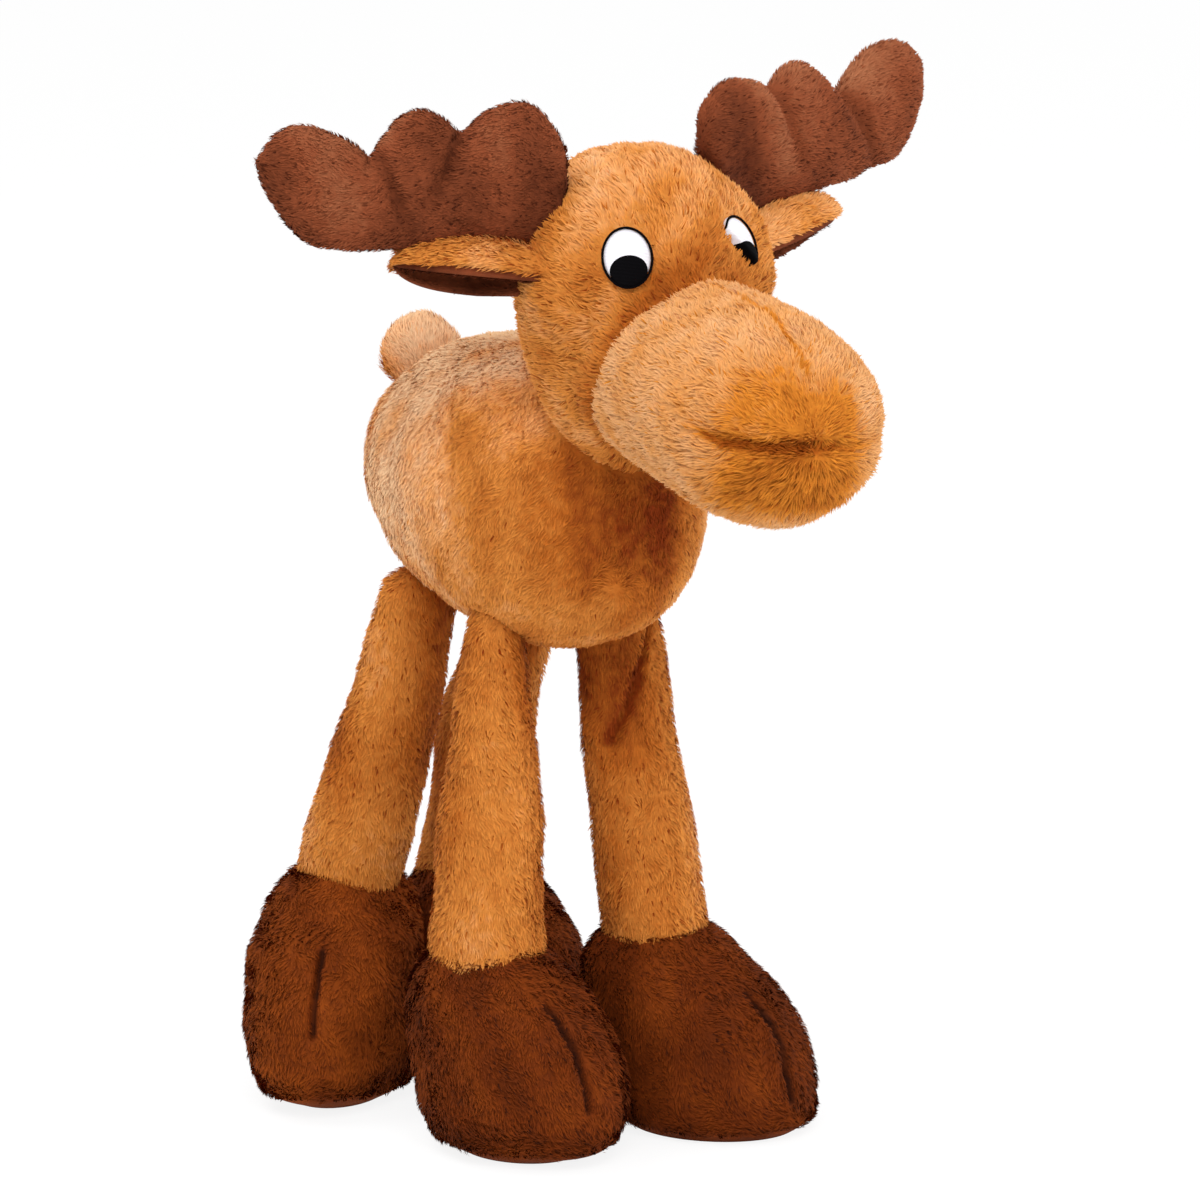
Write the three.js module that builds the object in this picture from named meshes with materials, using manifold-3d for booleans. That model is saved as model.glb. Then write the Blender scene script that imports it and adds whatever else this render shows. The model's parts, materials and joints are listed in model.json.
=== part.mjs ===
// Plush moose that stands on four floppy legs: sewn covers over soft filling.
// Millimetres, +Z up. The animal faces -Y and its own left side is +X.
import * as THREE from 'three';
import { mergeVertices } from 'three/addons/utils/BufferGeometryUtils.js';
import Module from 'manifold-3d';

const wasm = await Module();
wasm.setup();

// Cloth, seams and clearances
const coverThickness = 2.4;
const seamGap = 0.3;
const swingGap = 0.5;
const soleFlat = 0.5;
const cutOverrun = 8;
// A cutting block's reach, as a share of the body's length
const blockReachShare = 4;
// How much of the body's width a leg sweeps through, from its hip down
const legSeatShare = 0.65;

// Body, from the chest at the front to the rump
const bodyLength = 138;
const bodyWidth = 90;
const chestDepth = 105;
const rumpDepth = 91;
const chestHeight = 204;
const rumpHeight = 213;
const bodyMiddle = -12;

// Head, an egg that turns on the neck seam. It rests turned a little to the animal's right
const headWidth = 75;
const headBottom = 222;
const headTop = 326;
const headSetForward = 73;
const headRestTurn = -5;

// The face is wider and flatter than the egg, most of all between two levels
const cheekBottom = 260;
const cheekLow = 284;
const cheekHigh = 296;
const cheekTop = 324;
const cheekWidening = 6;
const cheekForward = 7;
const faceFlattening = 6.4;
const napeWidening = 2;

// Muzzle, a bulb sewn to the front of the head along a slanting seam
const muzzleWidth = 74;
const muzzleDepth = 67;
const muzzleRootHeight = 260;
const muzzleTipHeight = 247;
const muzzleTipForward = 184.5;
const muzzleBulbForward = 149.5;
const muzzleRootForward = 76;
const muzzleRootWidth = 62;
const browSeamForward = 115;
const browSeamHeight = 293;
const throatSeamForward = 86;
const throatSeamHeight = 226;

// Legs, tubes that widen from the hip to the ankle
const hipSpread = 25;
const hipForward = 25;
const hipHeight = 170;
const hipRadius = 10.5;
const ankleRadius = 17.5;
const ankleHeight = 62;
const shinInsideFoot = 12;

// Feet, round slippers with flat soles
const toeReach = 55;
const heelReach = 26;
const footWidth = 60;
const footHeight = 65;

// How each leg stands: its side and end of the body, how far its ankle is from the middle and
// forward, and how many degrees its toe turns to the left
const legStances = [
  { name: 'front_right', side: -1, end: 1, ankleSpread: 32, ankleForward: 27, toeTurn: 4 },
  { name: 'front_left', side: 1, end: 1, ankleSpread: 26.5, ankleForward: 35, toeTurn: 26 },
  { name: 'hind_right', side: -1, end: -1, ankleSpread: 31, ankleForward: -62, toeTurn: -48 },
  { name: 'hind_left', side: 1, end: -1, ankleSpread: 25, ankleForward: -69, toeTurn: 0 },
];

// How far the legs swing, in degrees
const frontSwing = { forward: 55, back: 6 };
const hindSwing = { forward: 6, back: 40 };

// Antlers, flat stuffed blades with three lobes on the upper edge. The left one stands higher by a skew
const antlerLength = 88;
const antlerRootSpread = 33.5;
const antlerRootForward = 76;
const antlerRootHeight = 313;
const antlerSweep = 15;
const antlerRise = 9;
const antlerSkew = 3;
const antlerThickness = 19;
const antlerTipThickness = 15;
const antlerRootDepth = 25;
const antlerLowerDepth = 20;
const antlerFlex = 12;
const antlerRootSlantShare = 0.3;
const antlerLeastUpper = 6;
const antlerRootInsideShare = 0.07;
const antlerSlantEndShare = 0.4;
const antlerBellyShare = 0.62;
const antlerTipShare = 0.8;
const lobeHeights = [29, 24, 19.5];
const lobePlaceShares = [0.15, 0.47, 0.88];
const lobeWidthShares = [0.25, 0.22, 0.21];

// Ears, cupped leaves with a lining
const earLength = 43;
const earWidth = 23;
const earCup = 12.5;
const earClothThickness = 2.6;
const earLiningThickness = 1.8;
const earRootSpread = 39.5;
const earRootForward = 77;
const earRootHeight = 284;
const earSweep = 24;
const earRise = 8;
const earTilt = 10;
const earFlap = 18;
const earRootInsideShare = 0.16;
const earRootWidthShare = 0.84;
const earFullShare = 0.36;
const earPointShare = 1.04;
const earTaper = 1.7;
const earOuterTurns = [-8, 30, 68, 112, 150, 188];
const earLiningTurns = [-24, 20, 65, 115, 160, 204];

// Eyes, layered patches of cloth and thread
const eyeWidth = 16.8;
const eyeHeight = 19.4;
const eyeSpread = 20.8;
const eyeLevel = 296;
const eyeRim = 0.6;
const eyeLayer = 0.7;
const pupilWidth = 12.2;
const pupilHeight = 11.2;
const pupilDrop = 4;

// Tail, a round lobe on the rump
const tailLength = 27;
const tailWidth = 27;
const tailRootRadius = 9;
const tailRootInset = 10;
const tailRootHeight = 232.5;
const tailLean = 30;
const tailWag = 15;

// How full the rounded forms are: below one is fuller than an ellipse
const bodyFullness = 0.88;
const crownFullness = 0.74;
const throatFullness = 0.94;
const muzzleFullness = 0.9;

// How finely the forms are drawn
const bodySides = 20;
const bodyRings = 12;
const headRings = 12;
const legSides = 12;
const footSides = 16;
const bladeSides = 10;
const bladeRings = 17;
const patchSides = 18;
const swingSteps = 8;

const orangePlush = { color: 0xc9813f, roughness: 0.95, metalness: 0 };
const muzzlePlush = { color: 0xdd9b60, roughness: 0.95, metalness: 0 };
const brownPlush = { color: 0x643216, roughness: 0.95, metalness: 0 };
const antlerPlush = { color: 0x74432f, roughness: 0.9, metalness: 0 };
const tailPlush = { color: 0xd98e4f, roughness: 0.95, metalness: 0 };
const fillingFibre = { color: 0xf1efe8, roughness: 1, metalness: 0 };
const whiteThread = { color: 0xf6f5f1, roughness: 0.6, metalness: 0 };
const blackThread = { color: 0x0c0b0d, roughness: 0.5, metalness: 0 };

const right = new THREE.Vector3(1, 0, 0);
const upward = new THREE.Vector3(0, 0, 1);

const radians = THREE.MathUtils.degToRad;
const mix = THREE.MathUtils.lerp;

function at(x, y, z) {
  return new THREE.Vector3(x, y, z);
}

// A turn about an axis that does not pass through the origin
function turnAbout(centre, axis, degrees) {
  return new THREE.Matrix4()
    .makeTranslation(centre.x, centre.y, centre.z)
    .multiply(new THREE.Matrix4().makeRotationAxis(axis, radians(degrees)))
    .multiply(new THREE.Matrix4().makeTranslation(-centre.x, -centre.y, -centre.z));
}

// A closed mesh without normals becomes a solid that can be joined and cut
function solidOf(geometry) {
  const bare = geometry.clone();
  bare.deleteAttribute('normal');
  bare.deleteAttribute('uv');
  const merged = mergeVertices(bare);
  const triVerts = new Uint32Array(merged.index.array);
  const vertProperties = new Float32Array(merged.attributes.position.array);
  return new wasm.Manifold(new wasm.Mesh({ numProp: 3, vertProperties, triVerts }));
}

function geometryOf(solid) {
  const mesh = solid.getMesh();
  const geometry = new THREE.BufferGeometry();
  geometry.setAttribute('position', new THREE.BufferAttribute(new Float32Array(mesh.vertProperties), 3));
  geometry.setIndex(new THREE.BufferAttribute(new Uint32Array(mesh.triVerts), 1));
  geometry.computeVertexNormals();
  return geometry;
}

function moved(solid, matrix) {
  return solidOf(geometryOf(solid).applyMatrix4(matrix));
}

function joined(solids) {
  return solids.reduce((whole, solid) => whole.add(solid));
}

// A closed solid over rings of points; a first or last ring of one point is a pole,
// and a larger one is closed flat.
function skinOver(rings) {
  const triangles = [];
  const centreOf = (ring) => ring.reduce((sum, p) => sum.add(p), at(0, 0, 0)).divideScalar(ring.length);
  const closeEnd = (ring, reversed) => {
    const centre = centreOf(ring);
    ring.forEach((p, i) => {
      const q = ring[(i + 1) % ring.length];
      triangles.push(...(reversed ? [centre, q, p] : [centre, p, q]));
    });
  };
  for (let r = 0; r + 1 < rings.length; r += 1) {
    const low = rings[r];
    const high = rings[r + 1];
    const sides = Math.max(low.length, high.length);
    for (let i = 0; i < sides; i += 1) {
      const a = low[i % low.length];
      const b = low[(i + 1) % low.length];
      const c = high[(i + 1) % high.length];
      const d = high[i % high.length];
      if (low.length > 1) triangles.push(a, b, d);
      if (high.length > 1) triangles.push(b, c, d);
    }
  }
  if (rings[0].length > 1) closeEnd(rings[0], true);
  if (rings.at(-1).length > 1) closeEnd(rings.at(-1), false);
  const volume = triangles.reduce((sum, p, i) => (
    i % 3 ? sum : sum + p.dot(triangles[i + 1].clone().cross(triangles[i + 2]))), 0);
  if (volume < 0) triangles.reverse();
  return solidOf(new THREE.BufferGeometry().setFromPoints(triangles));
}

// An oval ring about a centre, with its two half axes as vectors
function ovalRing(centre, across, over, sides) {
  return Array.from({ length: sides }, (_, i) => {
    const turn = (2 * Math.PI * i) / sides;
    return centre.clone().addScaledVector(across, Math.cos(turn)).addScaledVector(over, Math.sin(turn));
  });
}

// The body: an egg along Y, deeper at the chest
function bodyForm(inset) {
  const halfLength = bodyLength / 2 - inset;
  const rings = [];
  for (let i = 0; i <= bodyRings; i += 1) {
    const turn = (Math.PI * i) / bodyRings;
    const share = (1 - Math.cos(turn)) / 2;
    const swell = Math.sin(turn) ** bodyFullness;
    const centre = at(0, bodyMiddle - halfLength * Math.cos(turn), mix(chestHeight, rumpHeight, share));
    const halfWidth = (bodyWidth / 2 - inset) * swell;
    const halfDepth = (mix(chestDepth, rumpDepth, share) / 2 - inset) * swell;
    const isPole = i === 0 || i === bodyRings;
    rings.push(isPole ? [centre]
      : ovalRing(centre, at(halfWidth, 0, 0), at(0, 0, halfDepth), bodySides));
  }
  return skinOver(rings);
}

// How much of the face's width and flatness a level has
function cheekShare(level) {
  const { smoothstep } = THREE.MathUtils;
  return smoothstep(level, cheekBottom, cheekLow) * (1 - smoothstep(level, cheekHigh, cheekTop));
}

// The level outline of the head where its egg has a radius: how wide it is, how far ahead of the
// head's axis it is widest, and how far it reaches from there to the front and to the back
function headOutline(level, radius) {
  const share = cheekShare(level);
  return {
    halfWidth: radius + cheekWidening * share,
    ahead: cheekForward * share,
    front: radius - faceFlattening * share,
    back: radius + napeWidening * share,
  };
}

// The head: an upright egg, fuller at the crown, flattened to a face, and round where the neck holds it
function headForm(inset) {
  const halfHeight = (headTop - headBottom) / 2 - inset;
  const middle = (headTop + headBottom) / 2;
  const rings = [];
  for (let i = 0; i <= headRings; i += 1) {
    const turn = (Math.PI * i) / headRings;
    const fullness = i > headRings / 2 ? crownFullness : throatFullness;
    const radius = (headWidth / 2 - inset) * Math.sin(turn) ** fullness;
    const level = middle - halfHeight * Math.cos(turn);
    const { halfWidth, ahead, front, back } = headOutline(level, radius);
    const centre = at(0, -headSetForward - ahead, level);
    const isPole = i === 0 || i === headRings;
    rings.push(isPole ? [centre] : ovalRing(centre, at(halfWidth, 0, 0), at(0, 1, 0), bodySides)
      .map((p) => p.setY(centre.y + (p.y - centre.y) * (p.y < centre.y ? front : back))));
  }
  return skinOver(rings);
}

// The muzzle: nearly level behind, a round bulb in front, drooping a little toward its tip
function muzzleForm(inset) {
  const backShares = [0, 0.35, 0.7];
  const frontTurns = [0, 18, 36, 52, 66, 78];
  const frontLength = muzzleTipForward - muzzleBulbForward - inset;
  const spinePoint = (forward) => at(0, -forward, mix(muzzleRootHeight, muzzleTipHeight,
    (forward - muzzleRootForward) / (muzzleTipForward - muzzleRootForward)));
  const slice = (forward, swell) => ovalRing(
    spinePoint(forward),
    at((muzzleWidth / 2) * swell - inset, 0, 0),
    at(0, 0, (muzzleDepth / 2) * swell - inset),
    bodySides,
  );
  const rings = backShares.map((share) => slice(
    mix(muzzleRootForward + inset, muzzleBulbForward, share),
    mix(muzzleRootWidth / muzzleWidth, 1, Math.sin((share * Math.PI) / 2)),
  ));
  for (const degrees of frontTurns) {
    const forward = muzzleBulbForward + frontLength * Math.sin(radians(degrees));
    const swell = Math.cos(radians(degrees)) ** muzzleFullness;
    rings.push(ovalRing(
      spinePoint(forward),
      at((muzzleWidth / 2 - inset) * swell, 0, 0),
      at(0, 0, (muzzleDepth / 2 - inset) * swell),
      bodySides,
    ));
  }
  rings.push([spinePoint(muzzleTipForward - inset)]);
  return skinOver(rings);
}

function headAndMuzzle(inset) {
  return headForm(inset).add(muzzleForm(inset));
}

// Everything in front of the slanting seam between the head and the muzzle, moved back by a gap
function frontOfSeam(back) {
  const reach = blockReachShare * bodyLength;
  const seam = at(0, throatSeamForward - browSeamForward, browSeamHeight - throatSeamHeight).normalize();
  const forward = right.clone().cross(seam).normalize();
  const middle = at(0, -throatSeamForward, throatSeamHeight).addScaledVector(forward, -back);
  const slab = new THREE.BoxGeometry(reach, reach, reach);
  const basis = new THREE.Matrix4().makeBasis(right, forward, seam.clone().negate());
  basis.setPosition(middle.clone().addScaledVector(forward, reach / 2));
  return solidOf(slab.applyMatrix4(basis));
}

// One leg's hip, ankle and directions
function legPlaces(stance) {
  const hip = at(stance.side * hipSpread, -stance.end * hipForward, hipHeight);
  const ankle = at(stance.side * stance.ankleSpread, -stance.ankleForward, ankleHeight);
  return { hip, ankle, along: ankle.clone().sub(hip).normalize() };
}

// The rings of a leg below its hip, widening down to the ankle and a little past it
function legTube(stance, inset, past) {
  const { hip, ankle, along } = legPlaces(stance);
  const over = right.clone().cross(along).normalize();
  const across = along.clone().cross(over).normalize();
  const length = hip.distanceTo(ankle);
  const placeShares = [0, 0.18, 0.42, 0.7, 1 + past / length];
  return placeShares.map((share) => {
    const size = mix(hipRadius, ankleRadius, Math.sin((Math.min(1, share) * Math.PI) / 2)) - inset;
    const centre = hip.clone().addScaledVector(along, share * length);
    return ovalRing(centre, across.clone().multiplyScalar(size), over.clone().multiplyScalar(size), legSides);
  });
}

// A leg: a round top centred on its hip, then the tube
function legForm(stance, inset, past) {
  const { hip, along } = legPlaces(stance);
  const over = right.clone().cross(along).normalize();
  const across = along.clone().cross(over).normalize();
  const radius = hipRadius - inset;
  const topTurns = [60, 25];
  const top = topTurns.map((degrees) => {
    const size = radius * Math.cos(radians(degrees));
    const centre = hip.clone().addScaledVector(along, -radius * Math.sin(radians(degrees)));
    return ovalRing(centre, across.clone().multiplyScalar(size), over.clone().multiplyScalar(size), legSides);
  });
  return skinOver([[hip.clone().addScaledVector(along, -radius)], ...top, ...legTube(stance, inset, past)]);
}

// A foot: a stack of ovals from the flat sole up to the ankle, reaching out toward the toe
function footForm(stance, inset) {
  const { ankle } = legPlaces(stance);
  const heightShares = [0, 0.05, 0.17, 0.36, 0.56, 0.74, 0.89, 1];
  const toeShares = [0.66, 0.81, 0.96, 1, 0.91, 0.73, 0.51, 0.34];
  const heelShares = [0.5, 0.7, 0.9, 1, 1, 0.97, 0.88, 0.7];
  const widthShares = [0.6, 0.77, 0.94, 1, 0.98, 0.91, 0.78, 0.6];
  const toe = at(0, -1, 0).applyAxisAngle(upward, radians(stance.toeTurn));
  const side = toe.clone().cross(upward);
  const rings = heightShares.map((share, i) => {
    const toward = toeReach * toeShares[i] - inset;
    const behind = heelReach * heelShares[i] - inset;
    const halfWidth = (footWidth / 2) * widthShares[i] - inset;
    const centre = at(ankle.x, ankle.y, mix(inset, footHeight, share) - soleFlat);
    centre.addScaledVector(toe, (toward - behind) / 2);
    return ovalRing(centre, toe.clone().multiplyScalar((toward + behind) / 2),
      side.clone().multiplyScalar(halfWidth), footSides);
  });
  return skinOver(rings).subtract(below(inset));
}

// Everything under a level
function below(level) {
  const reach = blockReachShare * bodyLength;
  return solidOf(new THREE.BoxGeometry(reach, reach, reach).translate(0, 0, level - reach / 2));
}

// The space that a leg sweeps below its hip, as wide as the leg and a clearance
function legFan(stance, swing, clearance) {
  const { hip, along } = legPlaces(stance);
  const reach = legSeatShare * bodyWidth;
  const length = hip.distanceTo(legPlaces(stance).ankle);
  const placeShares = [0.02, 0.25, 0.5, 0.75, 1];
  const outline = placeShares.map((share) => {
    const distance = reach * share;
    const halfWidth = mix(hipRadius, ankleRadius, Math.sin((distance / length) * (Math.PI / 2))) + clearance;
    return { distance, outside: along.x * distance + halfWidth, inside: along.x * distance - halfWidth };
  });
  const down = at(0, along.y, along.z).normalize();
  const rings = Array.from({ length: swingSteps + 1 }, (_, i) => {
    const turn = mix(-swing.forward, swing.back, i / swingSteps);
    const direction = down.clone().applyAxisAngle(right, radians(turn));
    const place = (offset, distance) => hip.clone()
      .addScaledVector(right, offset)
      .addScaledVector(direction, distance);
    return [
      ...outline.map((p) => place(p.inside, p.distance)),
      ...outline.toReversed().map((p) => place(p.outside, p.distance)),
    ];
  });
  return skinOver(rings);
}

// The seat in the body that a leg swings in: its ball, its tube at both ends of the swing, and between
function legSeat(stance) {
  const swing = stance.end > 0 ? frontSwing : hindSwing;
  const { hip } = legPlaces(stance);
  const facetShare = 1 / Math.cos(Math.PI / legSides) ** 2;
  const ball = new THREE.SphereGeometry((hipRadius + swingGap) * facetShare, legSides, legSides / 2)
    .translate(hip.x, hip.y, hip.z);
  const tube = skinOver(legTube(stance, -swingGap, 0));
  return joined([
    solidOf(ball),
    moved(tube, turnAbout(hip, right, -swing.forward)),
    moved(tube, turnAbout(hip, right, swing.back)),
    legFan(stance, swing, swingGap),
  ]);
}

// The round seat in the body that the head turns in
function neckSeat() {
  const facetSag = (headWidth / 2) * (1 - Math.cos(Math.PI / bodySides));
  return headForm(-swingGap - facetSag);
}

function tailRoot() {
  return at(0, bodyMiddle + bodyLength / 2 - tailRootInset, tailRootHeight);
}

// The tail: a ball on the rump that swells to a round lobe
function tailForm(inset) {
  const root = tailRoot();
  const along = at(0, Math.sin(radians(tailLean)), Math.cos(radians(tailLean)));
  const over = right.clone().cross(along).normalize();
  const rootRadius = tailRootRadius - inset;
  const lobeRadius = tailWidth / 2 - inset;
  const lobeAt = tailLength - tailWidth / 2;
  const rootTurns = [-65, -35, -5];
  const lobeTurns = [-12, 15, 40, 65];
  const slice = (middle, radius, degrees) => ({
    distance: middle + radius * Math.sin(radians(degrees)),
    size: radius * Math.cos(radians(degrees)),
  });
  const rings = [
    ...rootTurns.map((degrees) => slice(0, rootRadius, degrees)),
    ...lobeTurns.map((degrees) => slice(lobeAt, lobeRadius, degrees)),
  ];
  return skinOver([
    [root.clone().addScaledVector(along, -rootRadius)],
    ...rings.map(({ distance, size }) => ovalRing(
      root.clone().addScaledVector(along, distance),
      right.clone().multiplyScalar(size),
      over.clone().multiplyScalar(size),
      bladeSides,
    )),
    [root.clone().addScaledVector(along, lobeAt + lobeRadius)],
  ]);
}

function tailSeat() {
  const grown = tailForm(-swingGap);
  return joined([-tailWag, 0, tailWag].map((turn) => moved(grown, turnAbout(tailRoot(), right, turn))));
}

// One antler's root and directions; side is 1 on the animal's left
function antlerPlaces(side) {
  const sweep = radians(antlerSweep);
  const rise = radians(antlerRise + side * antlerSkew);
  const along = at(side * Math.cos(sweep) * Math.cos(rise), Math.sin(sweep) * Math.cos(rise), Math.sin(rise));
  const root = at(side * antlerRootSpread, -antlerRootForward, antlerRootHeight);
  const thick = along.clone().cross(upward).normalize();
  const over = thick.clone().cross(along).normalize();
  const hinge = over.clone().addScaledVector(along, -antlerRootSlantShare).normalize();
  return { root, along, thick, over, hinge };
}

// How far the blade's edges stand above and below its spine, at a share of its length
function antlerEdges(share) {
  const lobes = lobeHeights.map((height, i) => {
    const away = (share - lobePlaceShares[i]) / lobeWidthShares[i];
    return Math.abs(away) < 1 ? height * Math.sqrt(1 - away * away) : 0;
  });
  const upper = Math.max(antlerLeastUpper, ...lobes);
  const belly = Math.sin(Math.min(1, Math.max(0, share) / antlerBellyShare) * (Math.PI / 2));
  return { upper, lower: mix(antlerRootDepth / 2, antlerLowerDepth, belly) };
}

// An antler: oval slices from just inside the head out to the rounded tip
function antlerForm(side, inset) {
  const { root, along, thick, over } = antlerPlaces(side);
  const insetShare = inset / antlerLength;
  const endShare = 1 - insetShare;
  const rings = Array.from({ length: bladeRings }, (_, i) => {
    const share = mix(insetShare - antlerRootInsideShare, endShare, i / (bladeRings - 1));
    const { upper, lower } = antlerEdges(share);
    const pastTip = Math.max(0, share - antlerTipShare) / (endShare - antlerTipShare);
    const round = Math.sqrt(Math.max(0, 1 - pastTip * pastTip));
    const halfThick = (mix(antlerThickness, antlerTipThickness, Math.max(0, share)) / 2 - inset) * round;
    const middle = ((upper - lower) / 2) * round;
    const halfDepth = ((upper + lower) / 2 - inset) * round;
    const slant = -antlerRootSlantShare * (1 - Math.min(1, Math.max(0, share) / antlerSlantEndShare));
    const centre = root.clone().addScaledVector(along, share * antlerLength + slant * middle);
    centre.addScaledVector(over, middle);
    if (i === bladeRings - 1) return [centre];
    return ovalRing(centre, thick.clone().multiplyScalar(halfThick),
      over.clone().addScaledVector(along, slant).multiplyScalar(halfDepth), bladeSides);
  });
  return skinOver(rings);
}

// What is left of a piece that turns on the head, cut clear of the head at rest and at both ends of its turn
function clearOfHead(piece, hingePoint, axis, degrees) {
  const head = headForm(-seamGap);
  return piece.subtract(joined([
    head,
    moved(head, turnAbout(hingePoint, axis, degrees)),
    moved(head, turnAbout(hingePoint, axis, -degrees)),
  ]));
}

// One ear's root and directions: along it, toward the face, and square to both
function earPlaces(side) {
  const sweep = radians(earSweep);
  const rise = radians(earRise);
  const level = at(side * Math.cos(sweep), Math.sin(sweep), 0);
  const along = level.clone().multiplyScalar(Math.cos(rise)).addScaledVector(upward, Math.sin(rise));
  const lift = upward.clone().multiplyScalar(Math.cos(rise)).addScaledVector(level, -Math.sin(rise));
  const ahead = at(side * Math.sin(sweep), -Math.cos(sweep), 0);
  const root = at(side * earRootSpread, -earRootForward, earRootHeight);
  return { root, along, ahead, lift };
}

// A cupped leaf between two arches, hollow toward the front and below
function leafForm(side, outset, thickness, archTurns) {
  const { root, along, ahead, lift } = earPlaces(side);
  const sliceShares = [-earRootInsideShare, 0.12, earFullShare, 0.6, 0.8, 0.93];
  const cupTilt = radians(earTilt);
  const over = lift.clone().multiplyScalar(Math.cos(cupTilt)).addScaledVector(ahead, -Math.sin(cupTilt));
  const wide = lift.clone().multiplyScalar(Math.sin(cupTilt)).addScaledVector(ahead, Math.cos(cupTilt));
  const arch = (centre, size, offset) => archTurns.map((degrees) => centre.clone()
    .addScaledVector(wide, (size * earWidth / 2 - offset) * Math.cos(radians(degrees)))
    .addScaledVector(over, (size * earCup - offset) * Math.sin(radians(degrees))));
  const sizeShareAt = (share) => (share < earFullShare
    ? mix(earRootWidthShare, 1, Math.max(0, share) / earFullShare)
    : 1 - ((share - earFullShare) / (earPointShare - earFullShare)) ** earTaper);
  const rings = sliceShares.map((share) => {
    const size = sizeShareAt(share);
    const centre = root.clone().addScaledVector(along, share * earLength);
    return [...arch(centre, size, outset), ...arch(centre, size, outset + thickness).toReversed()];
  });
  return skinOver(rings);
}

// An oval plug through the head's surface at an eye, lowered by a drop
function eyePlug(side, drop, shape) {
  const { forward, outward } = eyePlace(side);
  const sideways = outward.clone().cross(upward).normalize();
  const centre = at(side * eyeSpread, -headSetForward - forward, eyeLevel - drop);
  return skinOver([-cutOverrun, cutOverrun].map((depth) => ovalRing(
    centre.clone().addScaledVector(outward, depth),
    sideways.clone().multiplyScalar(shape.halfWidth),
    upward.clone().multiplyScalar(shape.halfHeight),
    patchSides,
  )));
}

// One oval layer of an eye, starting a little outside the head's surface
function eyePatch(side, near, drop, shape) {
  return headForm(-near - eyeLayer).subtract(headForm(-near)).intersect(eyePlug(side, drop, shape));
}

// How far in front of the head's axis the surface lies at an eye, and the way the eye faces
function eyePlace(side) {
  const halfHeight = (headTop - headBottom) / 2;
  const rise = (eyeLevel - (headTop + headBottom) / 2) / halfHeight;
  const radius = (headWidth / 2) * Math.sqrt(1 - rise * rise) ** crownFullness;
  const { halfWidth, ahead, front } = headOutline(eyeLevel, radius);
  const reach = front * Math.sqrt(1 - (eyeSpread / halfWidth) ** 2);
  const outward = at((side * eyeSpread) / halfWidth ** 2, -reach / front ** 2, 0).normalize();
  return { forward: ahead + reach, outward };
}

const moose = new THREE.Group();

// A turning group whose pieces are built in place and then measured from its hinge
function hingedGroup(parent, hinge) {
  const group = new THREE.Group();
  group.position.copy(hinge).sub(parent.userData.hinge ?? at(0, 0, 0));
  group.userData.hinge = hinge;
  parent.add(group);
  return group;
}

function addPiece(group, name, solid, material) {
  const hinge = group.userData.hinge ?? at(0, 0, 0);
  const geometry = geometryOf(solid).translate(-hinge.x, -hinge.y, -hinge.z);
  const mesh = new THREE.Mesh(geometry, new THREE.MeshStandardMaterial(material));
  mesh.name = name;
  group.add(mesh);
}

function addBody() {
  const seats = joined([neckSeat(), tailSeat(), ...legStances.map(legSeat)]);
  const cover = bodyForm(0).subtract(bodyForm(coverThickness)).subtract(seats);
  addPiece(moose, 'body_cover', cover, orangePlush);
  addPiece(moose, 'body_filling', bodyForm(coverThickness + seamGap).subtract(seats), fillingFibre);
}

function addHead() {
  const group = hingedGroup(moose, at(0, -headSetForward, headBottom));
  group.rotation.z = radians(headRestTurn);
  const covers = headAndMuzzle(0).subtract(headAndMuzzle(coverThickness));
  addPiece(group, 'head_cover', covers.subtract(frontOfSeam(seamGap / 2)), orangePlush);
  addPiece(group, 'muzzle_cover', covers.intersect(frontOfSeam(-seamGap / 2)), muzzlePlush);
  addPiece(group, 'head_filling', headAndMuzzle(coverThickness + seamGap), fillingFibre);
  return group;
}

function addEye(group, side, label) {
  const white = { halfWidth: eyeWidth / 2, halfHeight: eyeHeight / 2 };
  const hole = { halfWidth: white.halfWidth + seamGap, halfHeight: white.halfHeight + seamGap };
  const rim = { halfWidth: hole.halfWidth + eyeRim, halfHeight: hole.halfHeight + eyeRim };
  const pupil = { halfWidth: pupilWidth / 2, halfHeight: pupilHeight / 2 };
  const first = seamGap;
  const second = first + eyeLayer + seamGap;
  const ring = eyePatch(side, first, 0, rim).subtract(eyePlug(side, 0, hole));
  addPiece(group, `${label}_eye_white`, eyePatch(side, first, 0, white), whiteThread);
  addPiece(group, `${label}_eye_rim`, ring, blackThread);
  addPiece(group, `${label}_eye_pupil`, eyePatch(side, second, pupilDrop, pupil), blackThread);
}

function addAntler(head, side, label) {
  const { root, hinge } = antlerPlaces(side);
  const group = hingedGroup(head, root);
  const cover = antlerForm(side, 0).subtract(antlerForm(side, coverThickness));
  addPiece(group, `${label}_antler_cover`, clearOfHead(cover, root, hinge, antlerFlex), antlerPlush);
  const filling = antlerForm(side, coverThickness + seamGap);
  addPiece(group, `${label}_antler_filling`, clearOfHead(filling, root, hinge, antlerFlex), fillingFibre);
}

function addEar(head, side, label) {
  const { root } = earPlaces(side);
  const group = hingedGroup(head, root);
  const liningOutset = earClothThickness + seamGap;
  const outer = leafForm(side, 0, earClothThickness, earOuterTurns);
  const lining = leafForm(side, liningOutset, earLiningThickness, earLiningTurns);
  addPiece(group, `${label}_ear_outer`, clearOfHead(outer, root, upward, earFlap), orangePlush);
  addPiece(group, `${label}_ear_lining`, clearOfHead(lining, root, upward, earFlap), antlerPlush);
}

function addTail() {
  const group = hingedGroup(moose, tailRoot());
  addPiece(group, 'tail', tailForm(0), tailPlush);
}

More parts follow.
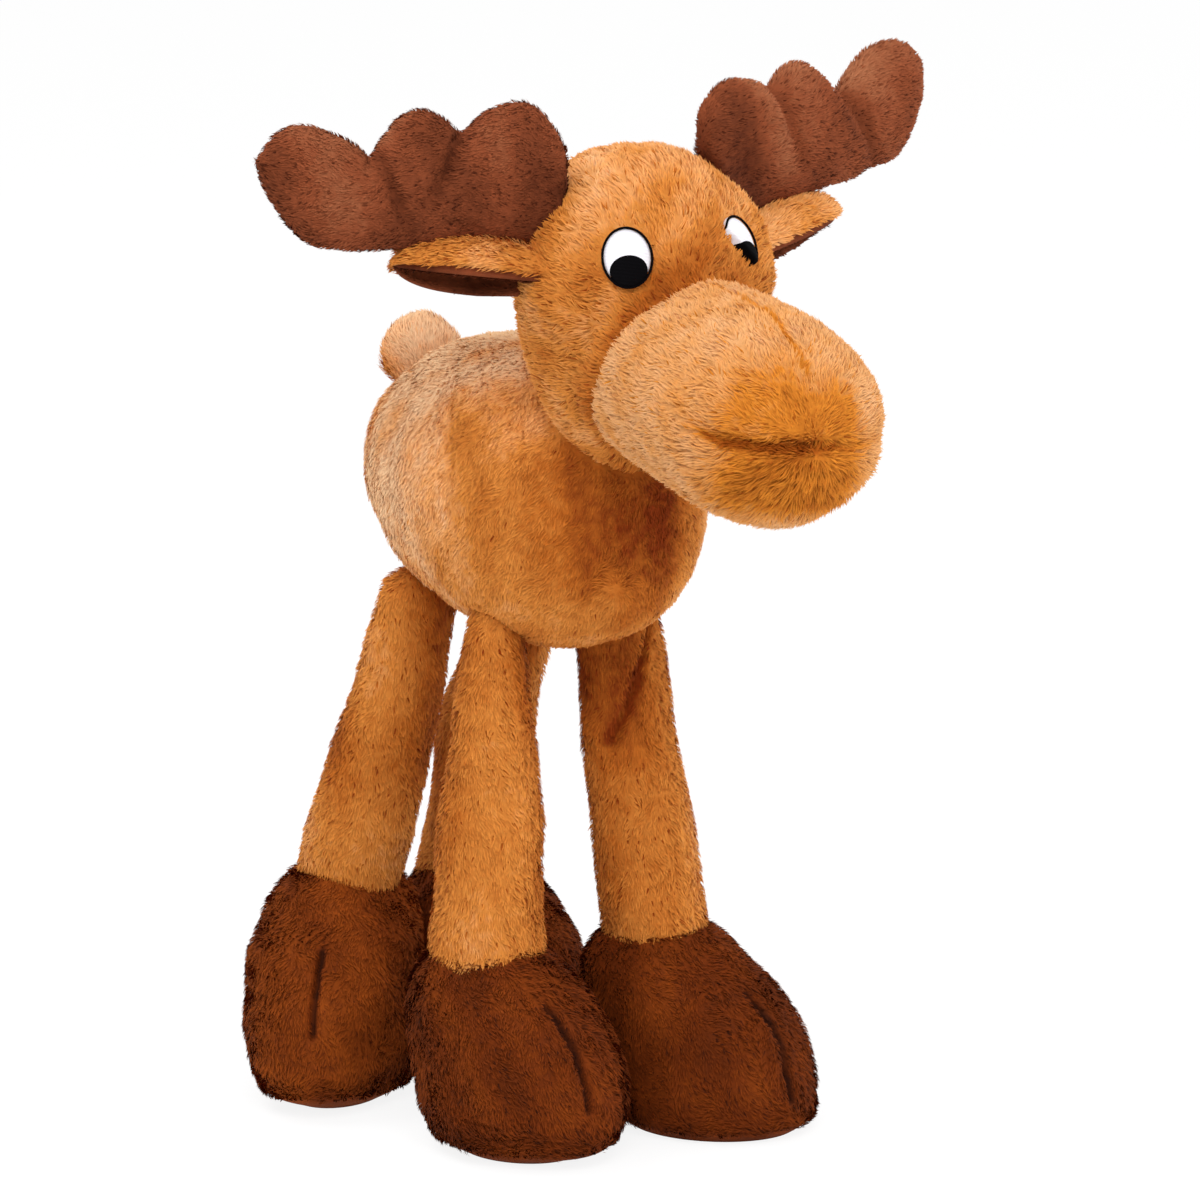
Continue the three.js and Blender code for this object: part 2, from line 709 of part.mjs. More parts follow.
// A leg with its foot: two covers open at the ankle, and one filling through both
function addLeg(stance) {
  const group = hingedGroup(moose, legPlaces(stance).hip);
  const footTop = footHeight - soleFlat;
  const legInside = legForm(stance, coverThickness, shinInsideFoot);
  const legCover = legForm(stance, 0, shinInsideFoot).subtract(legInside).subtract(below(footTop + seamGap));
  addPiece(group, `${stance.name}_leg_cover`, legCover, orangePlush);
  const footCover = footForm(stance, 0).subtract(footForm(stance, coverThickness)).subtract(legInside);
  addPiece(group, `${stance.name}_foot_cover`, footCover, brownPlush);
  const fillingInset = coverThickness + seamGap;
  const filling = legForm(stance, fillingInset, shinInsideFoot).add(footForm(stance, fillingInset));
  addPiece(group, `${stance.name}_leg_filling`, filling, fillingFibre);
}

addBody();
const head = addHead();
for (const [side, label] of [[-1, 'right'], [1, 'left']]) {
  addEye(head, side, label);
  addAntler(head, side, label);
  addEar(head, side, label);
}
addTail();
legStances.forEach(addLeg);

// The origin lies on the floor, under the middle of the whole animal
const middle = new THREE.Box3().setFromObject(moose, true).getCenter(at(0, 0, 0));
moose.position.set(-middle.x, -middle.y, 0);

export default moose;
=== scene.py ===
"""Plush moose standing on four floppy legs: sewn skins with a coat of short pile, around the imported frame."""

import json
import math

import bmesh
import bpy
import numpy as np
from mathutils import Matrix, Vector


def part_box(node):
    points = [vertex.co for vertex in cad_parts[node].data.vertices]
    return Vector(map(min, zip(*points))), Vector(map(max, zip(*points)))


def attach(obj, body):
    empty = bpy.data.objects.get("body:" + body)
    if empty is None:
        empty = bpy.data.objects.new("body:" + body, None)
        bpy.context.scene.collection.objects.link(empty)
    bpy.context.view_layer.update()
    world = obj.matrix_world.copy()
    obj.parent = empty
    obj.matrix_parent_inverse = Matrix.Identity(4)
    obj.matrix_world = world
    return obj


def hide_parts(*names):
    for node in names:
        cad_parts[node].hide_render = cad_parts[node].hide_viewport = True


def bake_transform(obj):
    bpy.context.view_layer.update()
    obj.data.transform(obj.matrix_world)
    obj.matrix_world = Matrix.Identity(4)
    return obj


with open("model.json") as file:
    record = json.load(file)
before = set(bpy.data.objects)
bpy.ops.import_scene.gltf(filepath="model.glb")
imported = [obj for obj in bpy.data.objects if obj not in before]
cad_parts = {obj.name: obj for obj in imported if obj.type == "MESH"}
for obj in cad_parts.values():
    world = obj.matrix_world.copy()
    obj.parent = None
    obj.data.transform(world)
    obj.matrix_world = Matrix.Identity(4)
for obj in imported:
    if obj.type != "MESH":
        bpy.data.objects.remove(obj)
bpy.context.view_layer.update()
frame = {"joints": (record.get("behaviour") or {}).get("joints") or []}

# Sizes in metres. The animal faces -Y and its own left side is +X. Pieces are built around its
# middle plane with the head straight, and then put in their place in the row frame
JOINT_AT = {joint["name"]: np.array(joint["pos_m"]) for joint in frame["joints"]}
MIDDLE = np.array([JOINT_AT["head_turn"][0], 0, 0])
HEAD_LOW = JOINT_AT["head_turn"] - MIDDLE
TAIL_ROOT = JOINT_AT["tail_wag"] - MIDDLE
HEAD_REST_TURN = -5

# Body
BODY_LOW, BODY_HIGH = (np.array(corner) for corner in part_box("body_cover"))
BODY_MIDDLE = (BODY_LOW[1] + BODY_HIGH[1]) / 2
BODY_LENGTH = BODY_HIGH[1] - BODY_LOW[1]
BODY_WIDTH = BODY_HIGH[0] - BODY_LOW[0]
CHEST_DEPTH = 0.105
RUMP_DEPTH = 0.091
CHEST_HEIGHT = 0.204
RUMP_HEIGHT = 0.213
BODY_FULLNESS = 0.88
SWIRL = np.array([-0.012, -0.030, 0.186])
SWIRL_SIZE = 0.009
FLANK_EDGE_AT = 0.017
FLANK_EDGE_LEVEL = 0.215
FLANK_EDGE_BEND = 20
FLANK_EDGE_WANDER = 0.0015
RIPPLE_HEIGHT = 0.00045
RIPPLE_PITCH = 0.0031
RIPPLE_WANDER_SIZE = 0.040
# A painted shadow on the chest under the head, over pile that is redder there: its middle and its size
CHEST_SHADOW_AT = np.array([-0.004, -0.034, 0.206])
CHEST_SHADOW_SIZE = 0.027

# Head and muzzle
HEAD_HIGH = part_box("head_cover")[1][2]
HEAD_MIDDLE = (HEAD_HIGH + HEAD_LOW[2]) / 2
HEAD_HALF = (HEAD_HIGH - HEAD_LOW[2]) / 2
HEAD_WIDTH = 0.075
CROWN_FULLNESS = 0.74
THROAT_FULLNESS = 0.94
CHEEK_LEVELS = (0.260, 0.284, 0.296, 0.324)
CHEEK_WIDENING = 0.006
CHEEK_AHEAD = 0.007
FACE_FLATTENING = 0.0064
NAPE_WIDENING = 0.002
MUZZLE_WIDTH = 0.074
MUZZLE_DEPTH = 0.067
MUZZLE_FULLNESS = 0.9
MUZZLE_ROOT_HEIGHT = 0.260
MUZZLE_TIP_HEIGHT = 0.247
MUZZLE_TIP_AHEAD = 0.1115
MUZZLE_BULB_AHEAD = 0.0765
MUZZLE_ROOT_AHEAD = 0.003
MUZZLE_ROOT_WIDTH = 0.062
SEAM_HEIGHTS = (0.200, 0.228, 0.246, 0.264, 0.280, 0.294, 0.320)
SEAM_AHEAD = (-0.012, 0.012, 0.024, 0.033, 0.0385, 0.041, 0.043)
MOUTH_HEIGHT = 0.2465
MOUTH_HALF_WIDTH = 0.034
MOUTH_CORNER_RISE = 0.003
MOUTH_SLOPE_SHARE = 0.1
MOUTH_SHADOW_WIDTH = 0.0016
LIP_MIDDLE = 0.009
LIPS_TO_RIGHT = 0.006
LONG_PILE_BELOW = 0.010
LONG_PILE_SPREAD = 0.012
RIDGE_ABOVE_MOUTH = 0.020
RIDGE_LINE_WIDTH = 0.0010
RIDGE_BARE_HALF_WIDTH = 0.00045
RIDGE_BARE_ABOVE_MOUTH = 0.024
BROW_LEVEL = 0.293
BROW_HEIGHT = 0.012
FACE_VOXEL = 0.0013
SEAM_HALF_GAP = 0.0001
SEAM_CAP = 0.0003
FACE_SHADOW_BEHIND = 0.001
FACE_SHADOW_WIDTH = 0.007

# Legs and feet: the ankle from the hip and its radius, the half width and half depth of the sewn flat
# top, how far the leg bows sideways at its top and middle, the toe's turn to the left in degrees, the
# toe's reach from the ankle, how far the sole is flat to its edge, the top of the foot and its shade,
# which on the hind right foot is raised as painted light, and the slit over the toe: how far aside it
# is, and its lowest and highest point
LEGS = {
    "front_right": {
        "ankle": (-0.0088, -0.002, -0.108), "ankle_radius": 0.0190, "top": (0.0090, 0.0090),
        "bow": (0.0, 0.0004), "toe_turn": 10, "toe_reach": 0.055, "sole_flatness_share": 0.3,
        "foot_height": 0.066, "foot_shade": 0.52, "slit": (0.0055, 0.021, 0.051)},
    "front_left": {
        "ankle": (0.0015, -0.010, -0.108), "ankle_radius": 0.0175, "top": (0.0155, 0.0085),
        "bow": (-0.0038, -0.0022), "toe_turn": 21, "toe_reach": 0.058, "sole_flatness_share": 1.0,
        "foot_height": 0.064, "foot_shade": 0.52, "slit": (0.0058, 0.014, 0.046)},
    "hind_right": {
        "ankle": (-0.006, 0.037, -0.108), "ankle_radius": 0.0178, "top": (0.0147, 0.0095),
        "bow": (0.004, 0.002), "toe_turn": -48, "toe_reach": 0.055, "sole_flatness_share": 0.2,
        "foot_height": 0.0745, "foot_shade": 0.74, "slit": (-0.003, 0.030, 0.054)},
    "hind_left": {
        "ankle": (-0.002, 0.044, -0.108), "ankle_radius": 0.0175, "top": (0.0145, 0.0085),
        "bow": (-0.0065, -0.006), "toe_turn": 0, "toe_reach": 0.055, "sole_flatness_share": 0.3,
        "foot_height": 0.066, "foot_shade": 0.52, "slit": (0.0, 0.029, 0.050)},
}
HIP_RADIUS = 0.0105
FOLD_START = np.array([0.005, 0.006])
FOLD_END = np.array([-0.0150, 0.044])
FOLD_HALF_WIDTH = 0.0018
FOLD_DEPTH = 0.0026
SLIT_HALF_WIDTH = 0.0009
SLIT_DEPTH = 0.0026
SLIT_FAR_BEHIND = 0.009
SHIN_INSIDE_FOOT = 0.012
LEG_PILE_INSIDE_FOOT = 0.005
HEEL_REACH = 0.026
FOOT_WIDTH = 0.060
FOOT_LEVEL_SHARES = (0, 0.05, 0.17, 0.36, 0.56, 0.74, 0.89, 1)
TOE_SHARES = (0.56, 0.76, 0.94, 1, 0.91, 0.73, 0.51, 0.34)
FLAT_TOE_SHARES = (0.88, 0.97, 1, 0.97, 0.9, 0.73, 0.51, 0.34)
HEEL_SHARES = (0.36, 0.6, 0.86, 1, 1, 0.97, 0.88, 0.7)
FOOT_WIDTH_SHARES = (0.48, 0.7, 0.91, 1, 0.98, 0.91, 0.78, 0.6)
FLAT_WIDTH_SHARES = (0.78, 0.9, 0.98, 1, 0.98, 0.91, 0.78, 0.6)

# Antlers
ANTLER_LENGTH = 0.088
ANTLER_SPREAD = 0.0335
ANTLER_AHEAD = 0.001
ANTLER_HEIGHT = 0.313
ANTLER_SWEEP = 15
ANTLER_RISE = {"right": 6, "left": 12}
ANTLER_THICKNESS = 0.019
ANTLER_TIP_THICKNESS = 0.015
ANTLER_SEAM_THICKNESS = 0.012
ANTLER_SWELLS_BY_SHARE = 0.32
ANTLER_ROOT_DEPTH = 0.031
ANTLER_SHOULDER = {"right": 0.0185, "left": 0.032}
ANTLER_SHOULDER_SLOPE = 0.1
ANTLER_LOWER_DEPTH = 0.020
ANTLER_LEAST_UPPER = 0.006
ANTLER_INSIDE_SHARE = 0.07
ANTLER_END_SHARE = 1.035
ANTLER_SLANT_SHARE = 0.3
ANTLER_SLANT_END_SHARE = 0.4
ANTLER_BELLY_SHARE = 0.7
ANTLER_TIP_RISE = 0.0065
UPPER_CLOSING_SHARE = 0.91
LOWER_CLOSING_SHARE = 0.76
THINNING_SHARE = 0.86
LOBE_HEIGHTS = (0.0292, 0.0250, 0.0186)
LOBE_PLACE_SHARES = {"right": (0.150, 0.45, 0.88), "left": (0.125, 0.39, 0.85)}
LOBE_WIDTH_SHARES = (0.215, 0.185, 0.32)
LOBE_ROUNDNESS_SHARES = (0.5, 0.5, 0.8)
VALLEY_SHARES = {"right": (0.29, 0.62), "left": (0.25, 0.58)}
VALLEY_HEIGHTS = (0.022, 0.012)
VALLEY_SLANT_SHARES = {"right": (0.40, -0.55), "left": (0.1, 0.25)}
CREASE_WIDTH_SHARE = 0.030
CREASE_END_SHARES = (0.42, 0.16)
ANTLER_CREASE_DEPTH = 0.0024
LOBE_SHARPNESS = 450

# Ears
EAR_LENGTH = 0.043
EAR_WIDTH = 0.023
EAR_CUP = 0.0125
EAR_SPREAD = 0.0395
EAR_AHEAD = 0.004
EAR_HEIGHT = 0.2874
EAR_SWEEP = 24
EAR_RISE = 8
EAR_TILT = 32
EAR_CLOTH = 0.0026
EAR_LINING = 0.0018
EAR_GAP = 0.0003
EAR_LEAST_HALF = 0.0004
EAR_FULL_SHARE = 0.36
EAR_ROOT_SHARE = 0.84
EAR_TAPER_SHARE = 0.66

# Eyes
EYE_WIDTH = {"right": 0.0154, "left": 0.0126}
EYE_HEIGHT = 0.0178
EYE_SPREAD = {"right": 0.0208, "left": 0.0196}
EYE_LEAN = {"right": 3, "left": 13}
EYE_SINKING = {"right": 0.0, "left": 0.0042}
EYE_LEVEL = 0.296
EYE_RIM = 0.0008
PUPIL_WIDTH = {"right": 0.0118, "left": 0.0104}
PUPIL_HEIGHT = 0.0098
PUPIL_DROP = 0.0039
EYE_STITCH_HEIGHTS = {"white": (0.0001, 0.0008), "rim": 0.00055, "pupil": (0.00075, 0.00125)}
EYE_PATCH_DEPTH = 0.0012
EYE_EDGE_UNDER_PILE = 0.0002
EYE_UNDER_PILE = 0.001
EYE_SEARCH = 0.012
THREAD_PITCH = 0.00042
THREAD_RELIEF = 0.00015
# A wave texture's bands lie this far apart at a scale of one
BAND_PITCH = 0.314

# Tail
TAIL_LENGTH = 0.027
TAIL_WIDTH = 0.027
TAIL_ROOT_RADIUS = 0.009
TAIL_LEAN = 30
TAIL_SHIFT = np.array([0.0006, -0.0016, -0.0010])
TAIL_LUMP = np.array([-0.0115, 0.008, 0.006])
TAIL_SPOT_SIZE = 0.008

# Soft unevenness of each skin: its height, and the size over which it changes
LUMPS = {
    "body": (0.0005, 0.028),
    "head": (0.0004, 0.022),
    "antler": (0.00035, 0.015),
    "tail": (0.0004, 0.012),
    "leg": (0.00055, 0.024),
    "foot": (0.0008, 0.022),
}

# Grooves and swells: how deep or high each is, and how wide to each side
RELIEF = {
    "spine": (0.0007, 0.0012),
    "flank_edge": (0.0009, 0.0018),
    "mouth": (0.0032, 0.0020),
    "cleft": (0.0013, 0.0011),
    "lip": (0.0011, 0.006),
    "brow": (0.0024, 0.009),
    "ridge": (0.0008, 0.0013),
    "face_seam": (0.0019, 0.0022),
    "tail_lump": (0.0022, 0.007),
}

# Where a shade or a relief starts, and where it is full
FADES = {
    "rump": (-0.002, 0.042),
    "flank_edge": (-0.0025, 0.0025),
    # Painted light along the top of the back
    "back": (0.232, 0.252),
    "left_chest": (0.006, 0.022),
    # Painted light toward the crown
    "crown": (0.296, 0.330),
    "throat": (0.262, 0.235),
    "brow": (0.015, 0.025),
    "mouth_to_left": (0.001, 0.009),
    "mouth_front": (0.004, 0.014),
    "cleft": (0.006, 0.002),
    "upper_lip_top": (0.033, 0.010),
    "upper_lip_edge": (-0.001, 0.001),
    "lower_lip_end": (-0.026, -0.016),
    "lower_lip_edge": (0.001, -0.001),
    "lip_narrowing": (0.006, 0.030),
    "lip_side": (0.029, 0.013),
    "ridge_groove": (0.0, 0.008),
    "ridge_back": (0.002, 0.009),
    "ridge_front": (0.017, 0.025),
    "eye_sinking": (-0.0006, 0.0034),
    "antler_root_shadow": (0.016, 0.003),
    "fold_start": (-0.004, 0.001),
    "fold_end": (0.003, -0.002),
    "inner_leg_shadow": (-0.004, 0.008),
    "leg_top_shadow": (-0.075, -0.020),
    "sole": (0.0, 0.008),
    "foot_droop": (0.004, 0.022),
}

# The size over which lighter and darker pile changes
PATCH_SIZES = {"flank_edge": 0.009, "flank_bands": 0.015, "head": 0.014, "muzzle": 0.011, "limb": 0.016,
               "antler": 0.014, "tail": 0.010, "foot": 0.015}

# How far from its root the end point given with a piece lies; nothing bends the piece
BEND_LENGTHS = {"antler": 0.018, "ear": 0.014, "tail": 0.010, "leg": 0.032}

# How far off a neighbour's surface the pile beside it ends. Below zero it ends inside the neighbour
PILE_OVERLAPS = {"body_at_head": 0.0005, "body_at_leg": -0.001, "head_at_body": -0.0025,
                 "antler_at_head": -0.001, "ear_at_head": -0.001, "tail_at_body": -0.0015,
                 "leg_at_body": -0.0025}

# Each coat: pile length, blades to a square millimetre, lean off the skin in degrees at the root and the
# tip, how much blades gather into tufts, the size of a tuft, and the share of single dark blades
PER_MM2 = 1e6
COATS = {
    "body": {"length": 0.0024, "per_mm2": 1.7, "leans": (34, 10), "gather_share": 0.25,
             "tuft": 0.0024, "nicked_share": 0.01},
    "head": {"length": 0.0031, "per_mm2": 1.9, "leans": (38, 16), "gather_share": 0.7,
             "tuft": 0.0034, "nicked_share": 0.05},
    "muzzle": {"length": 0.0029, "per_mm2": 1.9, "leans": (36, 15), "gather_share": 0.6,
               "tuft": 0.003, "nicked_share": 0.03},
    "leg": {"length": 0.0025, "per_mm2": 1.9, "leans": (35, 13), "gather_share": 0.5,
            "tuft": 0.0028, "nicked_share": 0.04},
    "foot": {"length": 0.0027, "per_mm2": 1.9, "leans": (40, 18), "gather_share": 0.6,
             "tuft": 0.0024, "nicked_share": 0.08},
    "antler": {"length": 0.002, "per_mm2": 2.2, "leans": (28, 9), "gather_share": 0.45,
               "tuft": 0.0018, "nicked_share": 0.1},
    "ear": {"length": 0.0029, "per_mm2": 1.9, "leans": (32, 14), "gather_share": 0.55,
            "tuft": 0.0028, "nicked_share": 0.05},
    "lining": {"length": 0.0017, "per_mm2": 2.4, "leans": (34, 14), "gather_share": 0.35,
               "tuft": 0.0018, "nicked_share": 0.08},
    "tail": {"length": 0.003, "per_mm2": 1.9, "leans": (38, 16), "gather_share": 0.4,
             "tuft": 0.0028, "nicked_share": 0.02},
}
BLADE_WIDTH = 0.00052
NICK_DARKNESS = 0.38
LIE_SIZE = 0.009
TOUSLE_SIZE = 0.005
PARTING_SIZE = 0.008
ROOT_DEPTH = 0.0002
LEAST_HEIGHT = 0.0001

# View, floor and light: angles in degrees, and for each lamp its place, its watts and its size
VIEW_AZIMUTH = -34
VIEW_ELEVATION = 12
VIEW_ROLL = -1.5
VIEW_DISTANCE = 2.5
VIEW_TARGET = Vector((0.0209, 0.02915, 0.1682))
VIEW_LENS = 232.5
SENSOR_WIDTH = 36
FLOOR_REACH = 6.0
FLOOR_GREY = 0.9
FLOOR_GLOW = 1.08
FLOOR_WHITE_SHARE = 0.8
SKY_STRENGTH = 0.62
LAMP_AIM = Vector((0, 0, 0.17))
LAMPS = {
    "key": ((-0.9, -1.5, 1.6), 26, 1.2),
    "fill": ((1.6, -1.0, 0.9), 11, 1.4),
    "top": ((-0.8, 0.7, 1.8), 11, 1.2),
}

TINY = 1e-12
LEAST_SWELL_SHARE = 1e-3
UP = np.array([0.0, 0.0, 1.0])
RIGHT = np.array([1.0, 0.0, 0.0])


def coat_depth(coat):
    """How far a coat's tips stand above the skin, which lies that deep under the sewn size."""
    first, second = (math.radians(lean) for lean in coat["leans"])
    return 1.1 * coat["length"] * (math.sin(first) + math.sin(second)) / 2


def unit(vectors):
    vectors = np.asarray(vectors, float)
    return vectors / np.maximum(np.linalg.norm(vectors, axis=-1, keepdims=True), TINY)


def mix(a, b, share):
    return a + (b - a) * share


def smooth_step(low, high, value):
    share = np.clip((value - low) / (high - low), 0, 1)
    return share * share * (3 - 2 * share)


def bump(value, width):
    return np.exp(-((value / width) ** 2))


def fade(name, value):
    return smooth_step(*FADES[name], value)


def relief(name, distance):
    """How deep a groove or how high a swell is at a distance from its middle."""
    depth, half_width = RELIEF[name]
    return depth * bump(distance, half_width)


def waves(points, size, seed):
    """Smooth noise from about -1 to 1 that changes over the given size."""
    rng = np.random.default_rng(seed)
    total = np.zeros(len(points))
    for _ in range(7):
        direction = unit(rng.normal(size=3))
        pitch = 2 * math.pi / (size * rng.uniform(0.8, 2.0))
        total += np.sin(points @ direction * pitch + rng.uniform(0, 2 * math.pi))
    return total / 2.6


def lumps(name, points, seed):
    height, size = LUMPS[name]
    return height * waves(points, size, seed)


# Meshes

def new_object(name, data):
    obj = bpy.data.objects.new(name, data)
    bpy.context.scene.collection.objects.link(obj)
    return obj


def mesh_object(name, points, faces):
    """A new object. All faces have the same number of corners."""
    faces = np.asarray(faces, np.int32)
    mesh = bpy.data.meshes.new(name)
    mesh.vertices.add(len(points))
    mesh.vertices.foreach_set("co", np.asarray(points, np.float32).ravel())
    mesh.loops.add(faces.size)
    mesh.loops.foreach_set("vertex_index", faces.ravel())
    mesh.polygons.add(len(faces))
    mesh.polygons.foreach_set("loop_start", np.arange(len(faces), dtype=np.int32) * faces.shape[1])
    mesh.polygons.foreach_set("use_smooth", np.ones(len(faces), bool))
    mesh.update(calc_edges=True)
    return new_object(name, mesh)


def loft(name, rings):
    """A closed mesh over rings of points. An end ring of one point is a pole, and a larger one is closed."""
    rings = [np.atleast_2d(ring) for ring in rings]
    if len(rings[0]) > 1:
        rings.insert(0, rings[0].mean(0, keepdims=True))
    if len(rings[-1]) > 1:
        rings.append(rings[-1].mean(0, keepdims=True))
    starts = np.cumsum([0] + [len(ring) for ring in rings])
    triangles = []
    for r in range(len(rings) - 1):
        low, high = len(rings[r]), len(rings[r + 1])
        i = np.arange(max(low, high))
        a, b = starts[r] + i % low, starts[r] + (i + 1) % low
        d, c = starts[r + 1] + i % high, starts[r + 1] + (i + 1) % high
        if low > 1:
            triangles.append(np.stack([a, b, d], 1))
        if high > 1:
            triangles.append(np.stack([b, c, d], 1))
    points, triangles = np.concatenate(rings), np.concatenate(triangles)
    corners = points[triangles]
    volume = np.einsum("ij,ij->i", corners[:, 0], np.cross(corners[:, 1], corners[:, 2])).sum()
    return mesh_object(name, points, triangles if volume > 0 else triangles[:, ::-1])


def oval(centre, across, over, sides):
    turn = np.linspace(0, 2 * math.pi, sides, endpoint=False)[:, None]
    return centre + np.cos(turn) * across + np.sin(turn) * over


def read_rows(items, name, width, kind):
    """What each item of a mesh says under a name, one row to an item."""
    values = np.empty(len(items) * width, kind)
    items.foreach_get(name, values)
    return values.reshape(-1, width)


def points_of(obj):
    return read_rows(obj.data.vertices, "co", 3, np.float32).astype(float)


def normals_of(obj):
    return read_rows(obj.data.vertex_normals, "vector", 3, np.float32).astype(float)


def set_points(obj, points):
    obj.data.vertices.foreach_set("co", np.asarray(points, np.float32).ravel())
    obj.data.update()


def press(obj, depth):
    """Moves each point along its normal by depth(points, normals): outward where it is positive."""
    points, normals = points_of(obj), normals_of(obj)
    set_points(obj, points + normals * depth(points, normals)[:, None])


def smoothed(obj, times):
    a, b = read_rows(obj.data.edges, "vertices", 2, np.int32).T
    points = points_of(obj)
    count = np.bincount(np.concatenate([a, b]), minlength=len(points))[:, None]
    for _ in range(times):
        total = np.zeros_like(points)
        np.add.at(total, a, points[b])
        np.add.at(total, b, points[a])
        points = mix(points, total / count, 0.5)
    set_points(obj, points)


def remeshed(name, sources, voxel):
    """One closed skin around the sources, which it uses up."""
    merged = bmesh.new()
    for source in sources:
        merged.from_mesh(source.data)
    mesh = bpy.data.meshes.new(name)
    merged.to_mesh(mesh)
    merged.free()
    obj = new_object(name, mesh)
    modifier = obj.modifiers.new("remesh", "REMESH")
    modifier.mode = "VOXEL"
    modifier.voxel_size = voxel
    made = bpy.data.meshes.new_from_object(obj.evaluated_get(bpy.context.evaluated_depsgraph_get()))
    obj.modifiers.clear()
    obj.data = made
    for source in sources:
        bpy.data.objects.remove(source)
    return obj


def cut_by_plane(obj, name, point, normal):
    """A closed copy of what lies behind the plane."""
    cut = bmesh.new()
    cut.from_mesh(obj.data)
    geometry = cut.verts[:] + cut.edges[:] + cut.faces[:]
    bmesh.ops.bisect_plane(cut, geom=geometry, plane_co=point, plane_no=normal, clear_outer=True)
    rim = [edge for edge in cut.edges if edge.is_boundary]
    bmesh.ops.holes_fill(cut, edges=rim, sides=0)
    bmesh.ops.triangulate(cut, faces=cut.faces[:])
    mesh = bpy.data.meshes.new(name)
    cut.to_mesh(mesh)
    cut.free()
    mesh.polygons.foreach_set("use_smooth", np.ones(len(mesh.polygons), bool))
    return new_object(name, mesh)


def triangles_of(obj):
    obj.data.calc_loop_triangles()
    return read_rows(obj.data.loop_triangles, "vertices", 3, np.int32)


def set_float(obj, name, values):
    attribute = obj.data.attributes.new(name, "FLOAT", "POINT")
    attribute.data.foreach_set("value", np.asarray(values, np.float32))


# Materials

def linear(colour):
    """A written #rrggbb colour as the linear values that a shader takes."""
    parts = [int(colour[i:i + 2], 16) / 255 for i in (1, 3, 5)]
    return [p / 12.92 if p <= 0.04045 else ((p + 0.055) / 1.055) ** 2.4 for p in parts] + [1.0]


def new_material(name):
    material = bpy.data.materials.new(name)
    material.use_nodes = True
    nodes = material.node_tree.nodes
    nodes.clear()
    shader = nodes.new("ShaderNodeBsdfPrincipled")
    output = nodes.new("ShaderNodeOutputMaterial")
    material.node_tree.links.new(shader.outputs[0], output.inputs[0])
    return material, nodes, material.node_tree.links, shader


def set_inputs(node, values):
    for name, value in values.items():
        node.inputs[name].default_value = value


def ramp_of(nodes, stops):
    ramp = nodes.new("ShaderNodeValToRGB")
    elements = ramp.color_ramp.elements
    elements[0].position, elements[0].color = stops[0][0], linear(stops[0][1])
    elements[1].position, elements[1].color = stops[-1][0], linear(stops[-1][1])
    for place, colour in stops[1:-1]:
        element = elements.new(place)
        element.color = linear(colour)
    return ramp


def math_node(nodes, links, operation, a, b):
    node = nodes.new("ShaderNodeMath")
    node.operation = operation
    for socket, value in zip(node.inputs, (a, b)):
        if isinstance(value, (int, float)):
            socket.default_value = value
        else:
            links.new(value, socket)
    return node.outputs[0]


def ranged(nodes, links, value, low, high):
    """A value from 0 to 1 stretched between low and high."""
    return math_node(nodes, links, "ADD", math_node(nodes, links, "MULTIPLY", value, high - low), low)


def pile_material(name, stops, root_shade_share, fleck_scale, sheen, sheen_tint):
    """Plush: colours picked by the piece's shade, darker at the roots as painted shade, each blade a little
    different.
    """
    material, nodes, links, shader = new_material(name)
    place = nodes.new("ShaderNodeTexCoord")
    fleck = nodes.new("ShaderNodeTexNoise")
    set_inputs(fleck, {"Scale": fleck_scale, "Detail": 3})
    links.new(place.outputs["Object"], fleck.inputs["Vector"])
    values = {}
    for attribute in ("shade", "tip", "strand"):
        node = nodes.new("ShaderNodeAttribute")
        node.attribute_name = attribute
        values[attribute] = node.outputs["Fac"]
    flecked = ranged(nodes, links, fleck.outputs["Fac"], -0.2, 0.2)
    shade = math_node(nodes, links, "ADD", values["shade"], flecked)
    ramp = ramp_of(nodes, stops)
    links.new(shade, ramp.inputs["Fac"])
    along = ranged(nodes, links, values["tip"], root_shade_share, 1.0)
    varied = ranged(nodes, links, values["strand"], 0.92, 1.08)
    strength = math_node(nodes, links, "MULTIPLY", along, varied)
    scaled = nodes.new("ShaderNodeVectorMath")
    scaled.operation = "SCALE"
    links.new(ramp.outputs["Color"], scaled.inputs[0])
    links.new(strength, scaled.inputs["Scale"])
    links.new(scaled.outputs[0], shader.inputs["Base Color"])
    links.new(ranged(nodes, links, fleck.outputs["Fac"], 0.72, 0.98), shader.inputs["Roughness"])
    links.new(face_the_light(nodes, links), shader.inputs["Normal"])
    set_inputs(shader, {"Sheen Weight": sheen, "Sheen Roughness": 0.45, "Sheen Tint": linear(sheen_tint),
                        "Specular IOR Level": 0.12})
    return material


def face_the_light(nodes, links):
    """A blade's face is lit as the pile around it, and its back as the thin flat thing that it is."""
    geometry = nodes.new("ShaderNodeNewGeometry")
    side = nodes.new("ShaderNodeMix")
    side.data_type = "VECTOR"
    factor, front, back, vector = side.inputs[0], side.inputs[4], side.inputs[5], side.outputs[1]
    links.new(geometry.outputs["Backfacing"], factor)
    links.new(geometry.outputs["Normal"], front)
    links.new(geometry.outputs["True Normal"], back)
    return vector


